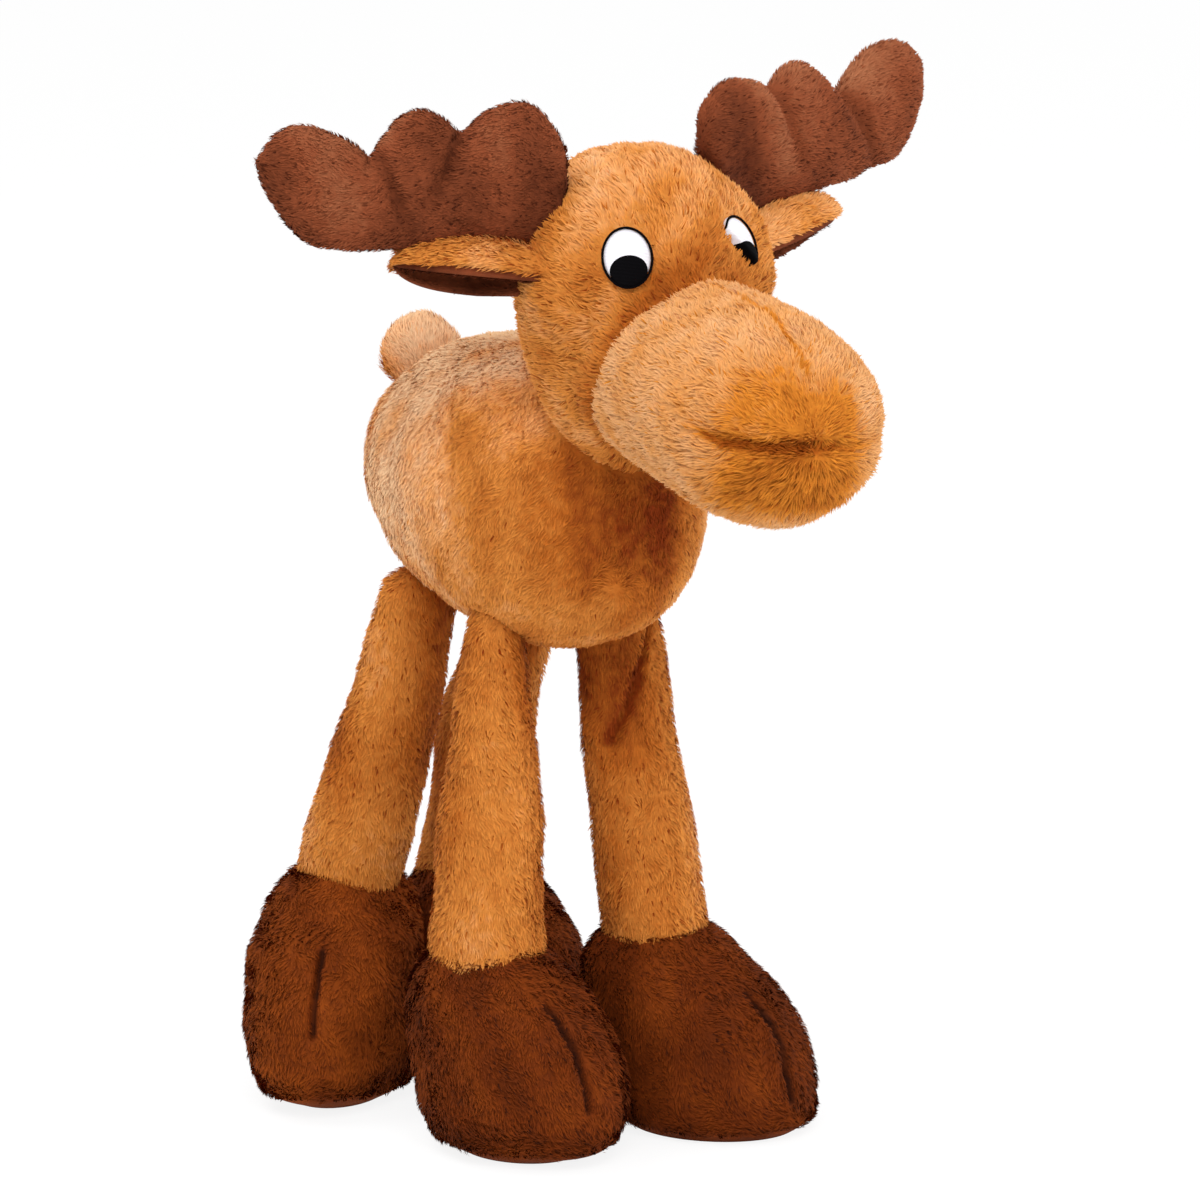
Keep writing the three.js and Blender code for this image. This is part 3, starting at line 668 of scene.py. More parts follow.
def thread_material(name, colour, groove_shade_colour, gloss):
    """Satin stitch: parallel threads that catch the light, with painted shade in the grooves between them."""
    material, nodes, links, shader = new_material(name)
    place = nodes.new("ShaderNodeTexCoord")
    wave = nodes.new("ShaderNodeTexWave")
    wave.bands_direction = "Z"
    set_inputs(wave, {"Scale": BAND_PITCH / THREAD_PITCH, "Distortion": 0.6, "Detail": 1})
    links.new(place.outputs["Object"], wave.inputs["Vector"])
    # Painted shade in the grooves between threads
    ramp = ramp_of(nodes, [(0.0, groove_shade_colour), (0.6, colour)])
    links.new(wave.outputs["Fac"], ramp.inputs["Fac"])
    links.new(ramp.outputs["Color"], shader.inputs["Base Color"])
    links.new(ranged(nodes, links, wave.outputs["Fac"], 0.62, 0.42), shader.inputs["Roughness"])
    set_inputs(shader, {"Specular IOR Level": gloss})
    ridge = nodes.new("ShaderNodeBump")
    set_inputs(ridge, {"Strength": 0.5, "Distance": THREAD_RELIEF})
    links.new(wave.outputs["Fac"], ridge.inputs["Height"])
    links.new(ridge.outputs[0], shader.inputs["Normal"])
    return material


PEACH = "#ffc48a"
ORANGE_STOPS = [(0.0, "#8c3606"), (0.25, "#c66c22"), (0.5, "#e4903e"), (0.75, "#f8b06c"), (1.0, "#ffd0a0")]
MUZZLE_STOPS = [(0.0, "#a8520e"), (0.35, "#e48c2c"), (0.65, "#eca662"), (1.0, "#f8c08a")]
BROWN_STOPS = [(0.0, "#3a1402"), (0.5, "#7c3408"), (1.0, "#a85014")]
ANTLER_STOPS = [(0.0, "#4a1c08"), (0.5, "#984e2e"), (1.0, "#bc7852")]
TAIL_STOPS = [(0.0, "#d88020"), (0.4, "#fcb878"), (1.0, "#ffd8ae")]
ORANGE = pile_material("orange_pile", ORANGE_STOPS, 0.8, 260, 0.1, PEACH)
MUZZLE = pile_material("muzzle_pile", MUZZLE_STOPS, 0.8, 260, 0.1, PEACH)
BROWN = pile_material("brown_pile", BROWN_STOPS, 0.7, 220, 0.04, "#d88040")
ANTLER = pile_material("antler_pile", ANTLER_STOPS, 0.75, 300, 0.08, "#e0a888")
TAIL = pile_material("tail_pile", TAIL_STOPS, 0.85, 260, 0.1, PEACH)
WHITE_THREAD = thread_material("white_thread", "#fbfafc", "#dcd8e8", 0.3)
BLACK_THREAD = thread_material("black_thread", "#0a090c", "#040304", 0.02)


# Pile

# Large odd numbers that scatter the tufts, one for each way and one for the seed
SCATTER = (73856093, 19349663, 83492791, 2654435761)


def tuft_centre(roots, size, seed):
    """The middle of the tuft that each root belongs to: the nearest of one jittered point to a cell."""
    cell = np.floor(roots / size).astype(np.int64)
    best = np.full(len(roots), np.inf)
    centre = roots.copy()
    for dx in (-1, 0, 1):
        for dy in (-1, 0, 1):
            for dz in (-1, 0, 1):
                near = cell + (dx, dy, dz)
                code = near[:, 0] * SCATTER[0] ^ near[:, 1] * SCATTER[1] ^ near[:, 2] * SCATTER[2]
                code = code ^ seed * SCATTER[3]
                jitter = np.stack([((code >> shift) & 1023) / 1023 for shift in (3, 11, 19)], 1)
                place = (near + jitter) * size
                distance = ((place - roots) ** 2).sum(1)
                closer = distance < best
                best[closer] = distance[closer]
                centre[closer] = place[closer]
    return centre


def turned(vectors, axes, angles):
    """Each vector turned about its own unit axis, to which it is square."""
    return vectors * np.cos(angles)[:, None] + np.cross(axes, vectors) * np.sin(angles)[:, None]


def grow_pile(name, skin, coat, lie, shade, material, seed, keep=None, swirl=0.35, length_at=None):
    """Blades of pile over a skin. lie gives the way the pile is brushed, and keep where it grows."""
    rng = np.random.default_rng(seed)
    points, normals, triangles = points_of(skin), normals_of(skin), triangles_of(skin)
    corners = points[triangles]
    areas = np.linalg.norm(np.cross(corners[:, 1] - corners[:, 0], corners[:, 2] - corners[:, 0]), axis=1) / 2
    thinning = 1.0
    per_area = coat["per_mm2"] * PER_MM2
    count = int(areas.sum() * per_area * thinning)
    chosen = np.searchsorted(np.cumsum(areas), rng.uniform(0, areas.sum(), count)).clip(0, len(areas) - 1)
    u, v = rng.uniform(size=(2, count, 1))
    u, v = np.where(u + v > 1, 1 - u, u), np.where(u + v > 1, 1 - v, v)
    three = triangles[chosen]
    root = points[three[:, 0]] * (1 - u - v) + points[three[:, 1]] * u + points[three[:, 2]] * v
    normal = unit(normals[three[:, 0]] * (1 - u - v) + normals[three[:, 1]] * u + normals[three[:, 2]] * v)
    if keep is not None:
        kept = keep(root, normal)
        root, normal = root[kept], normal[kept]
    count = len(root)
    way = lie(root, normal)
    way = unit(way - (way * normal).sum(1, keepdims=True) * normal)
    turn = swirl * waves(root, LIE_SIZE, seed + 1) + rng.normal(0, 0.16, count)
    way = turned(way, normal, turn)
    length = coat["length"] * rng.uniform(0.72, 1.2, count)
    if length_at is not None:
        length = length * length_at(root, normal)
    tousle = 7 * waves(root, TOUSLE_SIZE, seed + 2) + rng.normal(0, 5, count)
    first, second = (np.radians(np.clip(lean + tousle, 2, 85))[:, None] for lean in coat["leans"])
    half = (length / 2)[:, None]
    middle = root + half * (np.cos(first) * way + np.sin(first) * normal)
    tip = middle + half * (np.cos(second) * way + np.sin(second) * normal)
    gather = tuft_centre(root, coat["tuft"], seed) - root
    gather = gather - (gather * normal).sum(1, keepdims=True) * normal
    parting = 0.25 + smooth_step(-0.5, 0.9, waves(root, PARTING_SIZE, seed + 3))
    nicked = rng.uniform(size=count) < coat["nicked_share"] * (0.4 + parting)
    gather = gather * coat["gather_share"] * parting[:, None]
    middle, tip = middle + gather * 0.45, tip + gather
    twist = rng.normal(0, 0.3, count)
    side = turned(np.cross(normal, way), unit(tip - root), twist)
    width = BLADE_WIDTH * 1.0
    reach = side * (rng.uniform(0.75, 1.2, (count, 1)) * width / 2)
    base = root - normal * ROOT_DEPTH
    blades = np.stack([base - reach, base + reach, middle - reach * 0.8, middle + reach * 0.8, tip], 1)
    blades[..., 2] = np.maximum(blades[..., 2], LEAST_HEIGHT)
    first_corner = np.arange(count)[:, None] * 5
    faces = np.stack([first_corner + facet for facet in ((0, 3, 1), (0, 2, 3), (2, 4, 3))], 1).reshape(-1, 3)
    pile = mesh_object(name, blades.reshape(-1, 3), faces)
    # How far each corner lies from root to tip: the material darkens the roots as painted shade
    set_float(pile, "tip", np.tile([0.0, 0.0, 0.6, 0.6, 1.0], count))
    set_float(pile, "strand", np.repeat(rng.uniform(size=count), 5))
    set_float(pile, "shade", np.repeat(np.clip(shade(root, normal) - NICK_DARKNESS * nicked, 0, 1), 5))
    lit = np.repeat(unit(normal + 0.3 * unit(np.cross(tip - root, side))), 5, axis=0)
    pile.data.normals_split_custom_set_from_vertices(lit.tolist())
    give_cells(pile, count)
    pile.data.materials.append(material)
    return pile


def give_cells(pile, count):
    """Each blade's own cell in the map that the pile's colours can be drawn on."""
    across = math.ceil(math.sqrt(count))
    cell = np.stack([np.arange(count) % across, np.arange(count) // across], 1)
    corner = np.array([(0.1, 0.1), (0.9, 0.1), (0.1, 0.5), (0.9, 0.5), (0.5, 0.9)])
    order = [0, 3, 1, 0, 2, 3, 2, 4, 3]
    places = (cell[:, None, :] + corner[order]) / across
    layer = pile.data.uv_layers.new(name="OFBake")
    layer.data.foreach_set("uv", places.astype(np.float32).ravel())


def dress_skin(skin, shade, material):
    """The cloth under the pile takes the pile's colours near the roots, with their painted shade."""
    points, normals = points_of(skin), normals_of(skin)
    set_float(skin, "tip", np.full(len(points), 0.3))
    set_float(skin, "strand", np.full(len(points), 0.5))
    set_float(skin, "shade", shade(points, normals))
    skin.data.materials.append(material)


# Forms

def body_form(inset, sides, count):
    rings = []
    half = BODY_LENGTH / 2 - inset
    for turn in np.linspace(0, math.pi, count + 1):
        share = (1 - math.cos(turn)) / 2
        swell = math.sin(turn) ** BODY_FULLNESS if 0 < turn < math.pi else 0
        centre = np.array([0, BODY_MIDDLE - half * math.cos(turn), mix(CHEST_HEIGHT, RUMP_HEIGHT, share)])
        if swell == 0:
            rings.append(centre)
            continue
        across = RIGHT * (BODY_WIDTH / 2 - inset) * swell
        over = UP * (mix(CHEST_DEPTH, RUMP_DEPTH, share) / 2 - inset) * swell
        rings.append(oval(centre, across, over, sides))
    return rings


def head_radius(height, inset):
    """The radius of the head's egg at a height."""
    sine = np.sqrt(np.clip(1 - ((height - HEAD_MIDDLE) / (HEAD_HALF - inset)) ** 2, 0, 1))
    fullness = np.where(height > HEAD_MIDDLE, CROWN_FULLNESS, THROAT_FULLNESS)
    return (HEAD_WIDTH / 2 - inset) * sine ** fullness


def head_outline(height, radius):
    """The egg's level outline, wider and flatter in the face: its half width, how far ahead it is
    widest, and its reach from there to the front and to the back."""
    low, full, still_full, high = CHEEK_LEVELS
    share = smooth_step(low, full, height) * (1 - smooth_step(still_full, high, height))
    return (radius + CHEEK_WIDENING * share, CHEEK_AHEAD * share,
            radius - FACE_FLATTENING * share, radius + NAPE_WIDENING * share)


def head_level(points, grown):
    """Below one inside the head, above one outside it."""
    half_width, ahead, front, back = head_outline(points[:, 2], head_radius(points[:, 2], -grown))
    offset = points[:, 1] - HEAD_LOW[1] + ahead
    return (points[:, 0] / half_width) ** 2 + (offset / np.where(offset < 0, front, back)) ** 2


def head_form(inset, sides, count):
    half = HEAD_HALF - inset
    turns = np.linspace(0, 2 * math.pi, sides, endpoint=False)
    rings = [np.array([0, HEAD_LOW[1], HEAD_MIDDLE - half])]
    for turn in np.linspace(0, math.pi, count + 1)[1:-1]:
        height = HEAD_MIDDLE - half * math.cos(turn)
        half_width, ahead, front, back = head_outline(height, head_radius(height, inset))
        reach = np.where(np.sin(turns) < 0, front, back) * np.sin(turns)
        rings.append(np.stack([half_width * np.cos(turns), HEAD_LOW[1] - ahead + reach,
                               np.full(sides, height)], 1))
    rings.append(np.array([0, HEAD_LOW[1], HEAD_MIDDLE + half]))
    return rings


def muzzle_form(inset, sides):
    front = MUZZLE_TIP_AHEAD - HEAD_LOW[1]
    bulb = MUZZLE_BULB_AHEAD - HEAD_LOW[1]
    root = MUZZLE_ROOT_AHEAD - HEAD_LOW[1]

    def slice_at(forward, across, over):
        share = (forward - root) / (front - root)
        centre = np.array([0, -forward, mix(MUZZLE_ROOT_HEIGHT, MUZZLE_TIP_HEIGHT, share)])
        return oval(centre, RIGHT * across, UP * over, sides)

    rings = []
    for share in np.linspace(0, 0.95, 20):
        swell = mix(MUZZLE_ROOT_WIDTH / MUZZLE_WIDTH, 1, math.sin(share * math.pi / 2))
        forward = mix(root + inset, bulb, share)
        rings.append(slice_at(forward, MUZZLE_WIDTH / 2 * swell - inset, MUZZLE_DEPTH / 2 * swell - inset))
    for turn in np.linspace(0, math.pi / 2, 32, endpoint=False):
        forward = bulb + (front - bulb - inset) * math.sin(turn)
        swell = math.cos(turn) ** MUZZLE_FULLNESS
        across, over = (MUZZLE_WIDTH / 2 - inset) * swell, (MUZZLE_DEPTH / 2 - inset) * swell
        rings.append(slice_at(forward, across, over))
    rings.append(np.array([0, -(front - inset), MUZZLE_TIP_HEIGHT]))
    return rings


def leg_places(label):
    hip = JOINT_AT[f"{label}_leg_swing"] - MIDDLE
    ankle = hip + np.array(LEGS[label]["ankle"])
    along = unit(ankle - hip)
    over = unit(np.cross(RIGHT, along))
    return hip, ankle, along, np.cross(along, over), over


def leg_ring(label, share):
    """The middle of the leg at a share of its length, and its half width and half depth there."""
    hip, ankle, *_ = leg_places(label)
    top_width, top_depth = LEGS[label]["top"]
    top_bow, middle_bow = LEGS[label]["bow"]
    swell = np.sin(np.clip(share, 0, 1) * math.pi / 2)
    bow = curve_at(share, [0, 0.5, 1, 1.2], [top_bow, middle_bow, 0, 0])
    middle = hip + (ankle - hip) * share + RIGHT * bow
    ankle_radius = LEGS[label]["ankle_radius"]
    return middle, mix(top_width, ankle_radius, swell), mix(top_depth, ankle_radius, swell)


def leg_form(label, inset, sides, count):
    hip, ankle, along, across, over = leg_places(label)
    length = np.linalg.norm(ankle - hip)
    cap = HIP_RADIUS - inset
    middle, half_width, half_depth = leg_ring(label, 0)
    rings = [middle - along * cap]
    for turn in np.radians([75, 60, 45, 30, 15]):
        size = math.cos(turn)
        rings.append(oval(middle - along * cap * math.sin(turn), across * (half_width - inset) * size,
                          over * (half_depth - inset) * size, sides))
    for share in np.linspace(0, 1 + SHIN_INSIDE_FOOT / length, count):
        middle, half_width, half_depth = leg_ring(label, share)
        rings.append(oval(middle, across * (half_width - inset), over * (half_depth - inset), sides))
    return rings


def toe_ways(label):
    turn = math.radians(LEGS[label]["toe_turn"])
    toe = np.array([math.sin(turn), -math.cos(turn), 0])
    return toe, np.cross(toe, UP)


def foot_form(label, inset, sides, count):
    flatness = LEGS[label]["sole_flatness_share"]
    toe_shares = mix(np.array(TOE_SHARES), np.array(FLAT_TOE_SHARES), flatness)
    width_shares = mix(np.array(FOOT_WIDTH_SHARES), np.array(FLAT_WIDTH_SHARES), flatness)
    ankle = leg_places(label)[1]
    toe, side = toe_ways(label)
    rings = []
    for share in np.linspace(0, 1, count):
        toward = LEGS[label]["toe_reach"] * curve_at(share, FOOT_LEVEL_SHARES, toe_shares) - inset
        behind = HEEL_REACH * curve_at(share, FOOT_LEVEL_SHARES, HEEL_SHARES) - inset
        half = FOOT_WIDTH / 2 * curve_at(share, FOOT_LEVEL_SHARES, width_shares) - inset
        centre = np.array([ankle[0], ankle[1], share * (LEGS[label]["foot_height"] - inset)])
        centre = centre + toe * (toward - behind) / 2
        rings.append(oval(centre, toe * (toward + behind) / 2, side * half, sides))
    return rings


def curve_at(share, places, values):
    """A smooth curve through the values at their places."""
    slopes = np.gradient(values, places)
    i = int(np.clip(np.searchsorted(places, share) - 1, 0, len(places) - 2))
    width = places[i + 1] - places[i]
    t = (share - places[i]) / width
    return ((2 * t**3 - 3 * t**2 + 1) * values[i] + (t**3 - 2 * t**2 + t) * width * slopes[i]
            + (3 * t**2 - 2 * t**3) * values[i + 1] + (t**3 - t**2) * width * slopes[i + 1])


def antler_places(label):
    side = 1 if label == "left" else -1
    root = np.array([side * ANTLER_SPREAD, HEAD_LOW[1] - ANTLER_AHEAD, ANTLER_HEIGHT])
    sweep, rise = math.radians(ANTLER_SWEEP), math.radians(ANTLER_RISE[label])
    level = math.cos(rise)
    along = np.array([side * math.cos(sweep) * level, math.sin(sweep) * level, math.sin(rise)])
    thick = unit(np.cross(along, UP))
    return root, along, thick, np.cross(thick, along)


def closing(share, from_share, roundness):
    """1 along the antler, and rounding off to 0 at its end."""
    past = max(0, share - from_share) / (ANTLER_END_SHARE - from_share)
    return max(0, 1 - past * past) ** roundness


def antler_edges(label, share):
    """How far the antler reaches above and below its axis. It ends at a tip that turns up."""
    lobes = [ANTLER_LEAST_UPPER]
    for height, place, width, roundness in zip(
            LOBE_HEIGHTS, LOBE_PLACE_SHARES[label], LOBE_WIDTH_SHARES, LOBE_ROUNDNESS_SHARES):
        away = (share - place) / width
        lobes.append(height * max(0, 1 - away * away) ** roundness)
    upper = math.log(sum(math.exp(LOBE_SHARPNESS * lobe) for lobe in lobes)) / LOBE_SHARPNESS
    shoulder = ANTLER_SHOULDER[label] + ANTLER_SHOULDER_SLOPE * share
    under_both = math.exp(-LOBE_SHARPNESS * upper) + math.exp(-LOBE_SHARPNESS * shoulder)
    upper = -math.log(under_both) / LOBE_SHARPNESS
    lower = mix(ANTLER_ROOT_DEPTH / 2, ANTLER_LOWER_DEPTH, smooth_step(0, ANTLER_BELLY_SHARE, share))
    upper = mix(ANTLER_TIP_RISE, upper, closing(share, UPPER_CLOSING_SHARE, 0.5))
    lower = mix(-ANTLER_TIP_RISE, lower, closing(share, LOWER_CLOSING_SHARE, 0.75))
    return upper, lower


def antler_form(label, inset, sides, count):
    root, along, thick, over = antler_places(label)
    rings = []
    for step in np.sin(np.linspace(0, math.pi / 2, count)):
        share = mix(-ANTLER_INSIDE_SHARE, ANTLER_END_SHARE, step)
        upper, lower = antler_edges(label, share)
        thickness = mix(ANTLER_THICKNESS, ANTLER_TIP_THICKNESS, max(0, share))
        thickness = mix(ANTLER_SEAM_THICKNESS, thickness, smooth_step(0, ANTLER_SWELLS_BY_SHARE, share))
        middle = (upper - lower) / 2
        slant = -ANTLER_SLANT_SHARE * (1 - min(1, max(0, share) / ANTLER_SLANT_END_SHARE))
        centre = root + along * (share * ANTLER_LENGTH - inset * step + slant * middle) + over * middle
        half = max(0, (upper + lower) / 2 - inset)
        if step == 1:
            rings.append(centre)
            continue
        rings.append(oval(centre, thick * (thickness / 2 - inset) * closing(share, THINNING_SHARE, 0.5),
                          (over + along * slant) * half, sides))
    return rings


def antler_creases(label, points):
    """1 in the creases that run down the antler from the valleys between its lobes."""
    root, along, _, over = antler_places(label)
    offset = points - root
    share, height = offset @ along / ANTLER_LENGTH, offset @ over
    total = np.zeros(len(points))
    for valley, top, slant in zip(VALLEY_SHARES[label], VALLEY_HEIGHTS, VALLEY_SLANT_SHARES[label]):
        down = (top - height) / ANTLER_LENGTH
        beside = share - valley - slant * down
        total += bump(beside, CREASE_WIDTH_SHARE) * smooth_step(*CREASE_END_SHARES, down)
    return np.clip(total, 0, 1)


def ear_places(label):
    side = 1 if label == "left" else -1
    sweep, rise = math.radians(EAR_SWEEP), math.radians(EAR_RISE)
    level = np.array([side * math.cos(sweep), math.sin(sweep), 0])
    along = level * math.cos(rise) + UP * math.sin(rise)
    lift = UP * math.cos(rise) - level * math.sin(rise)
    ahead = np.array([side * math.sin(sweep), -math.cos(sweep), 0])
    root = np.array([side * EAR_SPREAD, HEAD_LOW[1] - EAR_AHEAD, EAR_HEIGHT])
    return root, along, ahead, lift


def ear_narrowing(share):
    """The ear's width at a share of its length: full near the root, and rounding off to the tip."""
    if share > EAR_FULL_SHARE:
        return (1 - ((share - EAR_FULL_SHARE) / EAR_TAPER_SHARE) ** 3) ** 0.5
    return mix(EAR_ROOT_SHARE, 1, max(0, share) / EAR_FULL_SHARE)


def leaf_form(label, outset, thickness, from_turn, to_turn):
    """A cupped leaf between two arches, hollow toward the front and below."""
    root, along, ahead, lift = ear_places(label)
    tilt = math.radians(EAR_TILT)
    over = lift * math.cos(tilt) - ahead * math.sin(tilt)
    wide = lift * math.sin(tilt) + ahead * math.cos(tilt)
    turns = np.radians(np.linspace(from_turn, to_turn, 28))[:, None]
    rings = []
    for share in np.linspace(-0.1, 1.0, 34):
        narrowing = ear_narrowing(share)
        centre = root + along * share * EAR_LENGTH

        def arch(offset):
            wide_half = max(narrowing * EAR_WIDTH / 2 - offset, EAR_LEAST_HALF)
            over_half = max(narrowing * EAR_CUP - offset, EAR_LEAST_HALF)
            return centre + wide * wide_half * np.cos(turns) + over * over_half * np.sin(turns)

        rings.append(np.concatenate([arch(outset), arch(outset + thickness)[::-1]]))
    return rings


def tail_way():
    lean = math.radians(TAIL_LEAN)
    return np.array([0, math.sin(lean), math.cos(lean)])


def tail_form(inset, sides):
    along = tail_way()
    over = unit(np.cross(RIGHT, along))
    lobe_at = TAIL_LENGTH - TAIL_WIDTH / 2
    root_radius, lobe_radius = TAIL_ROOT_RADIUS - inset, TAIL_WIDTH / 2 - inset
    root = TAIL_ROOT + TAIL_SHIFT
    rings = [root - along * root_radius]
    for turn in np.radians(np.linspace(-70, -5, 7)):
        size = math.cos(turn) * root_radius
        rings.append(oval(root + along * math.sin(turn) * root_radius, RIGHT * size, over * size, sides))
    for turn in np.radians(np.linspace(-12, 80, 18)):
        size = math.cos(turn) * lobe_radius
        middle = root + along * (lobe_at + math.sin(turn) * lobe_radius)
        rings.append(oval(middle, RIGHT * size, over * size, sides))
    rings.append(root + along * (lobe_at + lobe_radius))
    return rings


# What lies where

def in_head(points, grown):
    return head_level(points, grown) < 1


def in_body(points, grown):
    share = np.clip((points[:, 1] - BODY_LOW[1]) / BODY_LENGTH, 0, 1)
    swell = np.maximum(np.sqrt(np.clip(1 - (2 * share - 1) ** 2, 0, 1)) ** BODY_FULLNESS, LEAST_SWELL_SHARE)
    half_depth = mix(CHEST_DEPTH, RUMP_DEPTH, share) / 2 * swell + grown
    high = (points[:, 2] - mix(CHEST_HEIGHT, RUMP_HEIGHT, share)) / half_depth
    wide = points[:, 0] / (BODY_WIDTH / 2 * swell + grown)
    inside_ends = np.abs(points[:, 1] - BODY_MIDDLE) < BODY_LENGTH / 2 + grown
    return (high**2 + wide**2 < 1) & inside_ends


def in_leg(points, label, grown):
    hip, ankle, along, _, _ = leg_places(label)
    length = np.linalg.norm(ankle - hip)
    reach = np.clip((points - hip) @ along, 0, length)
    swell = np.sin(reach / length * math.pi / 2)
    radius = mix(min(LEGS[label]["top"]), LEGS[label]["ankle_radius"], swell) + grown
    return np.linalg.norm(points - hip - reach[:, None] * along, axis=1) < radius


def seam_distance(points):
    """How far each point is ahead of the curved seam between head and muzzle."""
    return HEAD_LOW[1] - points[:, 1] - np.interp(points[:, 2], SEAM_HEIGHTS, SEAM_AHEAD)


def mouth_gap(points):
    """How far each point is above the mouth line, which rises at its corners."""
    rise = MOUTH_CORNER_RISE * smooth_step(0.65 * MOUTH_HALF_WIDTH, MOUTH_HALF_WIDTH, np.abs(points[:, 0]))
    return points[:, 2] - MOUTH_HEIGHT - rise + MOUTH_SLOPE_SHARE * points[:, 0]


def mouth_strength(points):
    """1 along the mouth, fading at its corners and faint on the animal's left."""
    ends = smooth_step(MOUTH_HALF_WIDTH, 0.8 * MOUTH_HALF_WIDTH, np.abs(points[:, 0]))
    return ends * mix(1, 0.35, fade("mouth_to_left", points[:, 0]))


def mouth_front(points):
    """1 at the front of the muzzle, fading to 0 behind the corners of the mouth."""
    return fade("mouth_front", HEAD_LOW[1] - MUZZLE_BULB_AHEAD - points[:, 1])


def behind_flank_edge(points):
    """How far each point is behind the curved edge where the flank's pile turns light."""
    return points[:, 1] - FLANK_EDGE_AT - FLANK_EDGE_BEND * (points[:, 2] - FLANK_EDGE_LEVEL) ** 2


# Shades, 0 dark to 1 light: the pile's colours, with painted light and painted shade where noted

def body_shade(points, normals):
    wander = FLANK_EDGE_WANDER * waves(points, PATCH_SIZES["flank_edge"], 32)
    rear = mix(fade("rump", points[:, 1]), fade("flank_edge", behind_flank_edge(points) + wander), 0.45)
    # Painted light: the top of the back is lighter, as if lit from above
    top = fade("back", points[:, 2])
    # Painted shadow on the chest under the head, over pile that is redder there
    chest = bump(np.linalg.norm(points - CHEST_SHADOW_AT, axis=1), CHEST_SHADOW_SIZE)
    left_front = fade("left_chest", points[:, 0]) * (1 - rear) * (1 - top)
    bands = 0.11 * waves(points * (1, 1, 0.2), PATCH_SIZES["flank_bands"], 31) * (1 - 0.6 * chest)
    return np.clip(0.46 + 0.40 * rear + 0.3 * top - 0.42 * chest + 0.2 * left_front + bands, 0, 1)


def head_shade(points, normals):
    # Painted shadow behind the seam, where the muzzle meets the head, and painted light toward the crown
    seam = bump(seam_distance(points) + FACE_SHADOW_BEHIND, FACE_SHADOW_WIDTH)
    crown, throat = fade("crown", points[:, 2]), fade("throat", points[:, 2])
    patches = 0.1 * waves(points, PATCH_SIZES["head"], 41)
    return np.clip(0.52 + 0.17 * crown + 0.08 * throat - 0.24 * seam + patches, 0, 1)


def muzzle_shade(points, normals):
    """Light, with darker lips in a patch that narrows upward, the lower lip partly darkened by painted shade, a
    painted shadow along the mouth crease and a dark top seam.
    """
    gap, front = mouth_gap(points), mouth_front(points)
    upper_lip = front * fade("upper_lip_top", gap) * fade("upper_lip_edge", gap)
    # The lower lip is darker partly in its own colour and partly as painted shade
    lower_lip = front * fade("lower_lip_end", gap) * fade("lower_lip_edge", gap)
    narrowing = mix(1, 0.55, fade("lip_narrowing", gap))
    width = fade("lip_side", np.abs(points[:, 0] + LIPS_TO_RIGHT) / narrowing)
    # Painted shadow in the mouth crease
    crease = front * bump(gap, MOUTH_SHADOW_WIDTH) * mouth_strength(points)
    ridge = bump(points[:, 0], RIDGE_LINE_WIDTH) * fade("ridge_back", seam_distance(points))
    ridge = ridge * fade("ridge_front", gap)
    patches = 0.08 * waves(points, PATCH_SIZES["muzzle"], 51)
    lips = 0.42 * upper_lip * width + 0.5 * lower_lip * width
    return np.clip(0.72 - lips - 0.6 * crease - 0.5 * ridge + patches, 0, 1)


def limb_shade(points, normals):
    return np.clip(0.41 + 0.12 * waves(points * (1, 1, 0.4), PATCH_SIZES["limb"], 61), 0, 1)


def ear_shade(points, normals):
    return limb_shade(points, normals) + 0.2


def antler_shade(points, normals):
    patches = 0.14 * waves(points * (1, 1, 0.5), PATCH_SIZES["antler"], 81)
    # Painted light: sides that face up are lighter
    return np.clip(0.46 + patches + 0.2 * smooth_step(0, 1, normals[:, 2]), 0, 1)


def lining_shade(points, normals):
    # Darker than the antlers, and like them lighter where it faces up, as painted light
    return antler_shade(points, normals) - 0.22


def tail_shade(points, normals):
    spot = bump(np.linalg.norm(points - TAIL_ROOT - TAIL_LUMP, axis=1), TAIL_SPOT_SIZE)
    return np.clip(0.85 - 0.85 * spot + 0.08 * waves(points, PATCH_SIZES["tail"], 91), 0, 1)


# Pieces

def placement(bodies):
    """From the straight animal around its middle plane to its place in the row frame."""
    place = Matrix.Translation(MIDDLE)
    if bodies[0] == "head":
        axis = Matrix.Translation(HEAD_LOW)
        place = place @ axis @ Matrix.Rotation(math.radians(HEAD_REST_TURN), 4, "Z") @ axis.inverted()
    return place


def finish_piece(obj, slot, bodies, nodes=(), fill=None, start=None, end=None):
    """Puts the piece in its place, and lets it ride on one body; a piece between two bodies is only put in
    place.
    """
    place = placement(bodies)
    obj.data.transform(place)
    if len(bodies) == 1:
        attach(obj, bodies[0])
    else:
        start, end = (tuple(place @ Vector(point)) for point in (start, end))
        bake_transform(obj)
    if nodes:
        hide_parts(*nodes)


def finish_coated(skin, pile, slot, bodies, nodes, fill=None, **bend):
    """A skin stands for its nodes, and its pile goes with it."""
    finish_piece(skin, slot, bodies, nodes, fill, **bend)
    finish_piece(pile, slot, bodies, **bend)


def coated(name, rings, depth, coat, lie, shade, material, seed, keep, **blades):
    """A skin over rings of points, pressed by depth, and the pile on it."""
    skin = loft(f"{name}_skin", rings)
    press(skin, depth)
    dress_skin(skin, shade, material)
    pile = grow_pile(f"{name}_pile", skin, coat, lie, shade, material, seed, keep, **blades)
    return skin, pile


def brushed(way):
    """A lie of the pile that is the same everywhere."""
    def lie(points, normals):
        return np.tile(way, (len(points), 1))
    return lie


def clear_of(test, place):
    """Where a pile grows beside a neighbour: outside it, as far as the place's overlap says."""
    def keep(points, normals):
        return ~test(points, PILE_OVERLAPS[place])
    return keep


